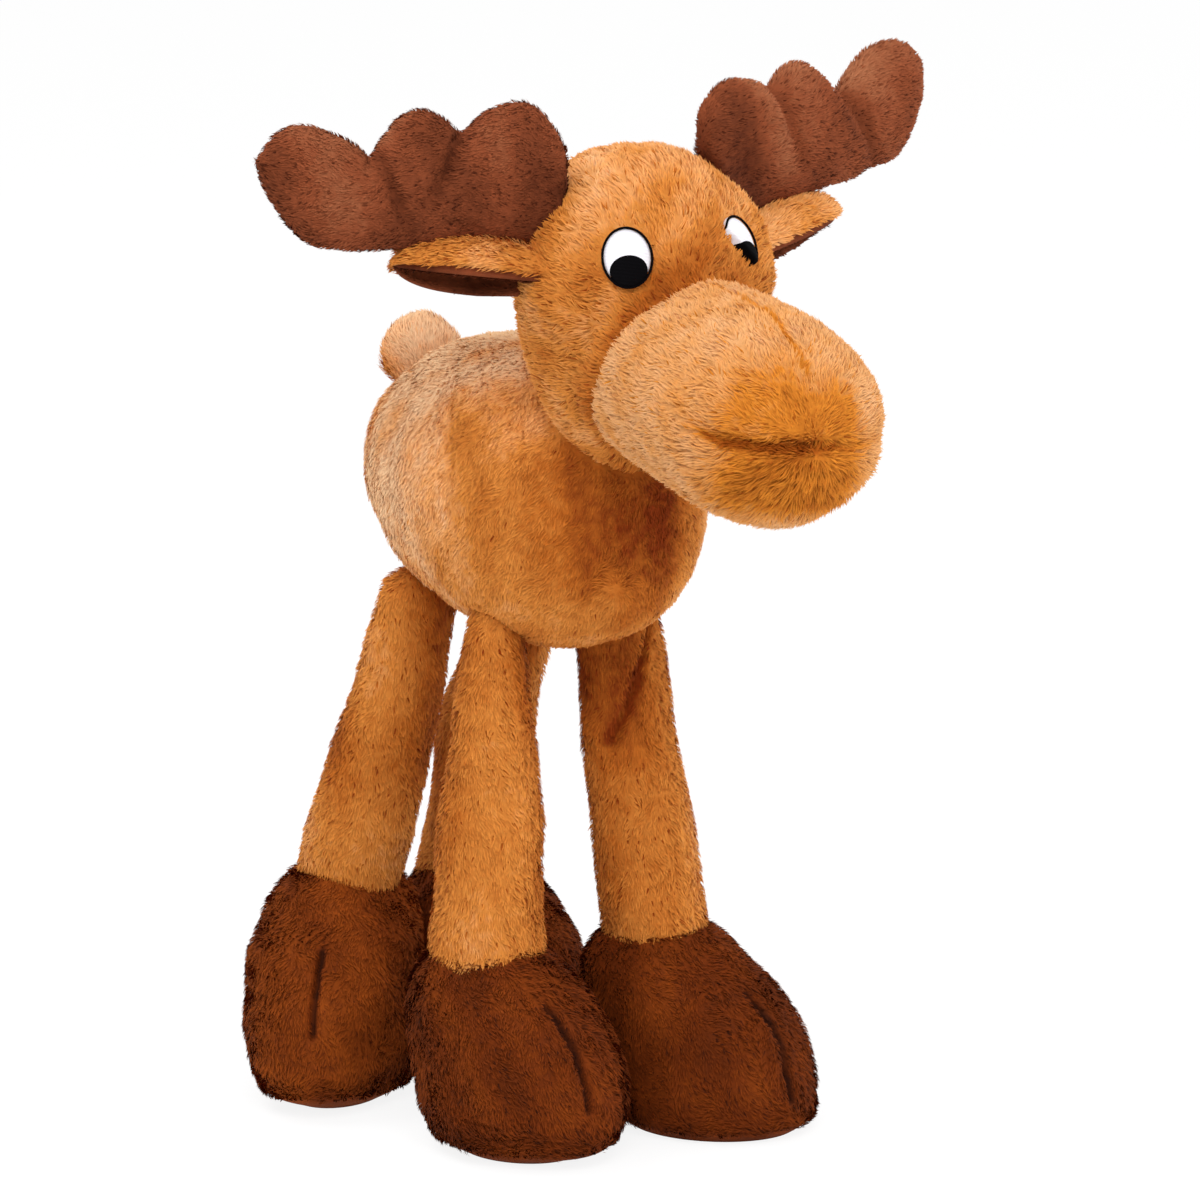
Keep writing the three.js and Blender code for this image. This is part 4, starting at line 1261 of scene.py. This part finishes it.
def make_body():
    coat = COATS["body"]

    def depth(points, normals):
        share = (points[:, 1] - BODY_LOW[1]) / BODY_LENGTH
        aside = np.abs(normals[:, 0])
        spine = relief("spine", points[:, 0]) * np.abs(normals[:, 2])
        flank = smooth_step(0.2, 0.7, aside) * smooth_step(0.3, 0.6, share) * smooth_step(1, 0.8, share)
        ripples = np.sin(points[:, 1] / RIPPLE_PITCH + 2 * waves(points, RIPPLE_WANDER_SIZE, 12))
        edge = relief("flank_edge", behind_flank_edge(points)) * smooth_step(0.2, 0.6, aside)
        return RIPPLE_HEIGHT * flank * ripples + lumps("body", points, 13) - spine - edge

    def lie(points, normals):
        """Down the flanks, and away from one swirl on the chest."""
        across = points[:, 0] / (BODY_WIDTH / 2)
        down = np.stack([across, np.full(len(points), 0.2), np.full(len(points), -1.0)], 1)
        from_swirl = points - SWIRL
        near = bump(np.linalg.norm(from_swirl, axis=1), SWIRL_SIZE)[:, None]
        return mix(down, unit(from_swirl), near)

    def keep(points, normals):
        hidden = in_head(points, PILE_OVERLAPS["body_at_head"])
        for label in LEGS:
            hidden |= in_leg(points, label, PILE_OVERLAPS["body_at_leg"])
        return ~hidden

    skin, pile = coated("body", body_form(coat_depth(coat), 150, 110), depth, coat, lie, body_shade, ORANGE,
                        101, keep)
    finish_coated(skin, pile, "orange_plush", ["body"], ["body_cover", "body_filling"], fill=0.9)


def eye_frame(label):
    """The middle of an eye on the head's surface, the way it faces, and the ways along and up it."""
    side = 1 if label == "left" else -1
    spread = EYE_SPREAD[label]
    half_width, ahead, front, _ = head_outline(EYE_LEVEL, float(head_radius(EYE_LEVEL, 0)))
    reach = front * math.sqrt(1 - (spread / half_width) ** 2)
    outward = unit([side * spread / half_width**2, -reach / front**2, 0])
    middle = np.array([side * spread, HEAD_LOW[1] - ahead - reach, EYE_LEVEL])
    level = np.cross(outward, UP)
    lean = math.radians(EYE_LEAN[label])
    sideways = level * math.cos(lean) - UP * math.sin(lean)
    return middle, outward, sideways, UP * math.cos(lean) + level * math.sin(lean)


def sunk(label, points):
    """How deep the part of the eye beside the nose lies in the pile."""
    middle, _, sideways, upright = eye_frame(label)
    toward_nose = (points - middle) @ unit(sideways - 0.55 * upright)
    return EYE_SINKING[label] * fade("eye_sinking", toward_nose)


def on_head(points, outward, raise_by):
    """Points moved along outward onto the head's surface, raised by a little."""
    low, high = np.full(len(points), -EYE_SEARCH), np.full(len(points), EYE_SEARCH)
    for _ in range(24):
        reach = (low + high) / 2
        outside = head_level(points + reach[:, None] * outward, raise_by) > 1
        low, high = np.where(outside, low, reach), np.where(outside, reach, high)
    return points + reach[:, None] * outward


def in_eye(points, grown):
    """1 or more outside the ovals of the eyes, less inside them."""
    least = np.full(len(points), 9.0)
    for label in ("right", "left"):
        middle, outward, sideways, upright = eye_frame(label)
        offset = points - middle
        x = offset @ sideways / (EYE_WIDTH[label] / 2 + grown)
        z = offset @ upright / (EYE_HEIGHT / 2 + grown)
        facing = (offset @ outward > -EYE_SEARCH) & (sunk(label, points) < EYE_UNDER_PILE)
        least = np.where(facing, np.minimum(least, x**2 + z**2), least)
    return least


def cut_at_seam(whole):
    """The skin behind the curved seam and the skin ahead of it, cut where the seam is made flat."""
    points = points_of(whole)
    points[:, 1] = -seam_distance(points)
    set_points(whole, points)
    ahead, gap = Vector((0, -1, 0)), Vector((0, SEAM_HALF_GAP, 0))
    parts = cut_by_plane(whole, "head_skin", gap, ahead), cut_by_plane(whole, "muzzle_skin", -gap, -ahead)
    for part in parts:
        points = points_of(part)
        points[:, 1] += HEAD_LOW[1] - np.interp(points[:, 2], SEAM_HEIGHTS, SEAM_AHEAD)
        set_points(part, points)
    bpy.data.objects.remove(whole)
    return parts


def on_cap(points, normals, facing):
    """Where the flat cap of a skin cut at the seam is. It faces ahead at -1 and back at 1."""
    return (np.abs(seam_distance(points)) < SEAM_CAP) & (facing * normals[:, 1] > 0.7)


def face_depth(points, normals):
    """The mouth crease and the lips around it, the cleft above it, the brow and the two seams."""
    gap, front = mouth_gap(points), mouth_front(points)
    within = front * mouth_strength(points)
    cleft = relief("cleft", points[:, 0]) * fade("cleft", gap) * (gap > 0) * front
    brow = relief("brow", points[:, 0]) * bump(points[:, 2] - BROW_LEVEL, BROW_HEIGHT)
    brow = brow * fade("brow", HEAD_LOW[1] - points[:, 1])
    lips = (relief("lip", gap - LIP_MIDDLE) + relief("lip", gap + LIP_MIDDLE)) * within
    ridge = relief("ridge", points[:, 0]) * fade("ridge_groove", seam_distance(points))
    ridge = ridge * (gap > RIDGE_ABOVE_MOUTH)
    grooves = relief("mouth", gap) * within + cleft + ridge + relief("face_seam", seam_distance(points))
    return brow + lips - grooves + lumps("head", points, 14)


def make_head():
    coat, muzzle_coat = COATS["head"], COATS["muzzle"]
    egg = loft("egg", head_form(coat_depth(coat), 110, 90))
    bulb = loft("bulb", muzzle_form(coat_depth(coat), 110))
    whole = remeshed("face", [egg, bulb], FACE_VOXEL)
    smoothed(whole, 8)
    press(whole, face_depth)
    head, muzzle = cut_at_seam(whole)
    dress_skin(head, head_shade, ORANGE)
    dress_skin(muzzle, muzzle_shade, MUZZLE)
    mouth = np.array([0, HEAD_LOW[1] - MUZZLE_TIP_AHEAD, MOUTH_HEIGHT])

    def away_from_mouth(points, normals):
        return points - mouth

    def muzzle_lie(points, normals):
        front = mouth_front(points)[:, None]
        along = np.tile([0.0, 1.0, 0.15], (len(points), 1))
        return mix(along, unit(points - mouth), front)

    def head_keep(points, normals):
        in_chest = in_body(points, PILE_OVERLAPS["head_at_body"])
        return (in_eye(points, -EYE_EDGE_UNDER_PILE) > 1) & ~on_cap(points, normals, -1) & ~in_chest

    def muzzle_keep(points, normals):
        on_ridge = np.abs(points[:, 0]) < RIDGE_BARE_HALF_WIDTH
        on_ridge &= mouth_gap(points) > RIDGE_BARE_ABOVE_MOUTH
        return ~on_cap(points, normals, 1) & ~on_ridge

    def near_eye(points, normals):
        return mix(0.45, 1, smooth_step(1.0, 1.9, in_eye(points, 0)))

    def lip_length(points, normals):
        return 1 + 0.5 * mouth_front(points) * bump(mouth_gap(points) + LONG_PILE_BELOW, LONG_PILE_SPREAD)

    head_pile = grow_pile("head_pile", head, coat, away_from_mouth, head_shade, ORANGE, 111, head_keep,
                          length_at=near_eye)
    muzzle_pile = grow_pile("muzzle_pile", muzzle, muzzle_coat, muzzle_lie, muzzle_shade, MUZZLE, 121,
                            muzzle_keep, length_at=lip_length)
    finish_coated(head, head_pile, "orange_plush", ["head"], ["head_cover", "head_filling"], fill=0.9)
    finish_coated(muzzle, muzzle_pile, "muzzle_plush", ["head"], ["muzzle_cover"], fill=0.9)


def oval_patch(name, label, half_width, half_height, drop, heights):
    """A domed oval of stitches on the head's surface, raised by heights at its edge and in the middle."""
    middle, outward, sideways, upright = eye_frame(label)
    low, high = heights
    rings = []
    centre = middle - upright * drop
    for share in np.linspace(0, 1, 14):
        ring = oval(centre, sideways * half_width * share, upright * half_height * share, 64)
        height = mix(low, high, math.sqrt(max(0, 1 - share**4)))
        ring = on_head(ring, outward, height - sunk(label, ring))
        rings.append(ring[:1] if share == 0 else ring)
    rim = oval(centre, sideways * half_width, upright * half_height, 64)
    rings.append(on_head(rim, outward, low - EYE_PATCH_DEPTH - sunk(label, rim)))
    return loft(name, rings)


def eye_cord(label, half_width, half_height, count, sides):
    """The rim of an eye: a closed cord of stitches that follows the head's surface."""
    middle, outward, sideways, upright = eye_frame(label)
    rings = []
    for turn in np.linspace(0, 2 * math.pi, count, endpoint=False):
        way = sideways * math.cos(turn) * half_width + upright * math.sin(turn) * half_height
        place = (middle + way)[None]
        place = on_head(place, outward, EYE_STITCH_HEIGHTS["rim"] - sunk(label, place))[0]
        stitch = 1 + 0.12 * math.sin(turn * count / 2)
        rings.append(oval(place, unit(way) * EYE_RIM / 2 * stitch, outward * EYE_RIM / 2 * stitch, sides))
    i, j = np.meshgrid(np.arange(count), np.arange(sides), indexing="ij")
    following, beside = (i + 1) % count * sides, (j + 1) % sides
    corners = [i * sides + j, i * sides + beside, following + beside, following + j]
    faces = np.stack(corners, -1).reshape(-1, 4)
    return mesh_object(f"{label}_eye_rim_stitches", np.concatenate(rings), faces)


def make_eye(label):
    half_width, half_height = EYE_WIDTH[label] / 2, EYE_HEIGHT / 2
    white = oval_patch(f"{label}_eye_white_stitches", label, half_width - EYE_RIM / 2,
                       half_height - EYE_RIM / 2, 0, EYE_STITCH_HEIGHTS["white"])
    pupil = oval_patch(f"{label}_pupil_stitches", label, PUPIL_WIDTH[label] / 2, PUPIL_HEIGHT / 2,
                       PUPIL_DROP, EYE_STITCH_HEIGHTS["pupil"])
    rim = eye_cord(label, half_width, half_height, 120, 10)
    for obj, material, slot, node in ((white, WHITE_THREAD, "white_thread", "white"),
                                      (rim, BLACK_THREAD, "black_thread", "rim"),
                                      (pupil, BLACK_THREAD, "black_thread", "pupil")):
        obj.data.materials.append(material)
        finish_piece(obj, slot, ["head"], [f"{label}_eye_{node}"])


def make_antler(label):
    coat = COATS["antler"]
    root, along, thick, _ = antler_places(label)

    def depth(points, normals):
        creases = antler_creases(label, points) * np.abs(normals @ thick)
        return lumps("antler", points, 15) - ANTLER_CREASE_DEPTH * creases

    def shade(points, normals):
        # Painted shade in the creases and where the antler meets the head
        root_shadow = fade("antler_root_shadow", (points - root) @ along)
        creases = antler_creases(label, points)
        return np.clip(antler_shade(points, normals) - 0.2 * creases - 0.26 * root_shadow, 0, 1)

    skin, pile = coated(f"{label}_antler", antler_form(label, coat_depth(coat), 72, 150), depth, coat,
                        brushed(along), shade, ANTLER, 131, clear_of(in_head, "antler_at_head"))
    finish_coated(skin, pile, "antler_plush", ["head", f"{label}_antler"],
                  [f"{label}_antler_cover", f"{label}_antler_filling"], fill=0.8,
                  start=root, end=root + along * BEND_LENGTHS["antler"])


def make_ear(label):
    root, along, _, _ = ear_places(label)
    outer = loft(f"{label}_ear_skin", leaf_form(label, 0, EAR_CLOTH, -8, 174))
    lining = loft(f"{label}_ear_lining_skin", leaf_form(label, EAR_CLOTH + EAR_GAP, EAR_LINING, -24, 204))
    dress_skin(outer, ear_shade, ORANGE)
    dress_skin(lining, lining_shade, ANTLER)
    lie = brushed(along - 0.25 * UP)

    def facing(way):
        """Keeps the side of a leaf that faces away from its axis where way is 1, toward it where it is -1."""
        def keep(points, normals):
            offset = points - root
            from_axis = offset - (offset @ along)[:, None] * along
            return (way * (from_axis * normals).sum(1) > 0) & ~in_head(points, PILE_OVERLAPS["ear_at_head"])
        return keep

    outer_pile = grow_pile(f"{label}_ear_pile", outer, COATS["ear"], lie, ear_shade, ORANGE, 141, facing(1))
    lining_pile = grow_pile(f"{label}_ear_lining_pile", lining, COATS["lining"], lie, lining_shade, ANTLER,
                            151, facing(-1))
    bend = {"start": root, "end": root + along * BEND_LENGTHS["ear"]}
    bodies = ["head", f"{label}_ear"]
    finish_coated(outer, outer_pile, "orange_plush", bodies, [f"{label}_ear_outer"], **bend)
    finish_coated(lining, lining_pile, "antler_plush", bodies, [f"{label}_ear_lining"], **bend)


def make_tail():
    coat = COATS["tail"]
    along = tail_way()

    def depth(points, normals):
        from_lump = np.linalg.norm(points - TAIL_ROOT - TAIL_LUMP, axis=1)
        return lumps("tail", points, 16) + relief("tail_lump", from_lump)

    skin, pile = coated("tail", tail_form(coat_depth(coat), 48), depth, coat, brushed(along), tail_shade,
                        TAIL, 161, clear_of(in_body, "tail_at_body"))
    finish_coated(skin, pile, "tail_plush", ["body", "tail"], ["tail"], fill=0.7,
                  start=TAIL_ROOT, end=TAIL_ROOT + along * BEND_LENGTHS["tail"])


def leg_fold(label, points):
    """1 in the slanting fold at the top of the front left leg."""
    if label != "front_left":
        return np.zeros(len(points))
    hip, _, along, across, over = leg_places(label)
    offset = points - hip
    line = FOLD_END - FOLD_START
    way = unit(line)
    flat = np.stack([offset @ across, offset @ along], 1) - FOLD_START
    reach = flat @ way
    from_line = bump(flat @ np.array([way[1], -way[0]]), FOLD_HALF_WIDTH)
    along_line = fade("fold_start", reach) * fade("fold_end", reach - np.linalg.norm(line))
    return from_line * along_line * (offset @ over < 0)


def slit_gap(label, points):
    """How far each point is from the slit over the toe, as shares of its half width, large away from it."""
    aside, low, high = LEGS[label]["slit"]
    toe, side = toe_ways(label)
    offset = points - leg_places(label)[1]
    beyond = np.maximum(low - points[:, 2], 0) + np.maximum(points[:, 2] - high, 0)
    beyond = beyond + SLIT_FAR_BEHIND * (offset @ toe < 0)
    return np.hypot(offset @ side - aside, beyond) / SLIT_HALF_WIDTH


def make_leg(label, seed):
    hip, _, along, _, _ = leg_places(label)
    coat = COATS["leg"]

    def depth(points, normals):
        return lumps("leg", points, seed) - FOLD_DEPTH * leg_fold(label, points)

    def shade(points, normals):
        inward = (hip[0] - points[:, 0]) * np.sign(hip[0])
        # Painted shadow on the inner side of the leg's top, beside the body and the other legs, and in the fold
        hidden = fade("inner_leg_shadow", inward) * fade("leg_top_shadow", points[:, 2] - hip[2])
        return np.clip(limb_shade(points, normals) - 0.24 * hidden - 0.3 * leg_fold(label, points), 0, 1)

    def keep(points, normals):
        above_foot = points[:, 2] > LEGS[label]["foot_height"] - LEG_PILE_INSIDE_FOOT
        return above_foot & ~in_body(points, PILE_OVERLAPS["leg_at_body"])

    skin, pile = coated(f"{label}_leg", leg_form(label, coat_depth(coat), 72, 90), depth, coat,
                        brushed(along), shade, ORANGE, seed + 2, keep)
    finish_coated(skin, pile, "orange_plush", ["body", f"{label}_leg"],
                  [f"{label}_leg_cover", f"{label}_leg_filling"], fill=0.6,
                  start=hip, end=hip + along * BEND_LENGTHS["leg"])


def make_foot(label, seed):
    toe, _ = toe_ways(label)
    coat = COATS["foot"]

    def depth(points, normals):
        slit = SLIT_DEPTH * bump(slit_gap(label, points), 1.3)
        return (lumps("foot", points, seed + 1) - slit) * fade("sole", points[:, 2])

    def shade(points, normals):
        patches = 0.1 * waves(points, PATCH_SIZES["foot"], 71)
        # Painted shadow in the slit over the toe
        return np.clip(LEGS[label]["foot_shade"] + patches - 0.8 * bump(slit_gap(label, points), 1.5), 0, 1)

    def lie(points, normals):
        """Toward the toe, and down where the foot is high."""
        return np.tile(toe * 0.8, (len(points), 1)) - UP * fade("foot_droop", points[:, 2])[:, None]

    def keep(points, normals):
        return (normals[:, 2] > -0.75) & (slit_gap(label, points) > 1.0)

    def length_at(points, normals):
        return mix(0.4, 1, smooth_step(1, 3.5, slit_gap(label, points)))

    skin, pile = coated(f"{label}_foot", foot_form(label, coat_depth(coat), 200, 90), depth, coat, lie,
                        shade, BROWN, seed + 3, keep, swirl=0.5, length_at=length_at)
    finish_coated(skin, pile, "brown_plush", [f"{label}_leg"], [f"{label}_foot_cover"], fill=0.7)


# Camera, floor and light

def make_camera():
    azimuth, elevation, roll = (math.radians(a) for a in (VIEW_AZIMUTH, VIEW_ELEVATION, VIEW_ROLL))
    back = Vector((math.sin(azimuth) * math.cos(elevation), -math.cos(azimuth) * math.cos(elevation),
                   math.sin(elevation)))
    level = Vector((math.cos(azimuth), math.sin(azimuth), 0))
    upright = back.cross(level)
    across = level * math.cos(roll) + upright * math.sin(roll)
    over = upright * math.cos(roll) - level * math.sin(roll)
    data = bpy.data.cameras.new("camera")
    data.sensor_width = SENSOR_WIDTH
    data.lens = VIEW_LENS
    camera = new_object("camera", data)
    turn = Matrix((across, over, back)).transposed().to_4x4()
    camera.matrix_world = Matrix.Translation(VIEW_TARGET + back * VIEW_DISTANCE) @ turn
    bpy.context.scene.camera = camera


def white_where_seen(nodes, links, share, lit, white, output):
    """Mixes white over a shader where the camera, a gloss or a clear surface looks at it."""
    path = nodes.new("ShaderNodeLightPath")
    seen = math_node(nodes, links, "MAXIMUM", path.outputs["Is Camera Ray"], path.outputs["Is Glossy Ray"])
    seen = math_node(nodes, links, "MAXIMUM", seen, path.outputs["Is Transmission Ray"])
    mixed = nodes.new("ShaderNodeMixShader")
    links.new(math_node(nodes, links, "MULTIPLY", seen, share), mixed.inputs[0])
    links.new(lit.outputs[0], mixed.inputs[1])
    links.new(white.outputs[0], mixed.inputs[2])
    links.new(mixed.outputs[0], nodes.new(output).inputs[0])


def emitter(nodes, kind, strength):
    node = nodes.new(kind)
    set_inputs(node, {"Color": (1, 1, 1, 1), "Strength": strength})
    return node


def make_floor():
    corners = np.array([(-1, -1, 0), (1, -1, 0), (1, 1, 0), (-1, 1, 0)]) * FLOOR_REACH
    floor = mesh_object("floor", corners, [[0, 1, 2, 3]])
    material = bpy.data.materials.new("floor")
    material.use_nodes = True
    nodes, links = material.node_tree.nodes, material.node_tree.links
    nodes.clear()
    lit = nodes.new("ShaderNodeBsdfDiffuse")
    set_inputs(lit, {"Color": (FLOOR_GREY, FLOOR_GREY, FLOOR_GREY, 1)})
    glow = emitter(nodes, "ShaderNodeEmission", FLOOR_GLOW)
    white_where_seen(nodes, links, FLOOR_WHITE_SHARE, lit, glow, "ShaderNodeOutputMaterial")
    floor.data.materials.append(material)


def make_light():
    world = bpy.data.worlds.new("studio")
    world.use_nodes = True
    bpy.context.scene.world = world
    nodes, links = world.node_tree.nodes, world.node_tree.links
    nodes.clear()
    soft = emitter(nodes, "ShaderNodeBackground", SKY_STRENGTH)
    white = emitter(nodes, "ShaderNodeBackground", 1)
    white_where_seen(nodes, links, 1, soft, white, "ShaderNodeOutputWorld")
    for name, (place, energy, size) in LAMPS.items():
        lamp = bpy.data.lights.new(name, "AREA")
        lamp.energy = energy
        lamp.size = size
        obj = new_object(name, lamp)
        obj.location = place
        aim = LAMP_AIM - obj.location
        obj.rotation_mode = "QUATERNION"
        obj.rotation_quaternion = aim.to_track_quat("-Z", "Y")
    bpy.context.scene.view_settings.view_transform = "Standard"


make_camera()
make_floor()
make_light()
make_body()
make_head()
make_tail()
for side_label in ("right", "left"):
    make_eye(side_label)
    make_antler(side_label)
    make_ear(side_label)
for index, leg_label in enumerate(LEGS):
    make_leg(leg_label, 200 + 10 * index)
    make_foot(leg_label, 200 + 10 * index)
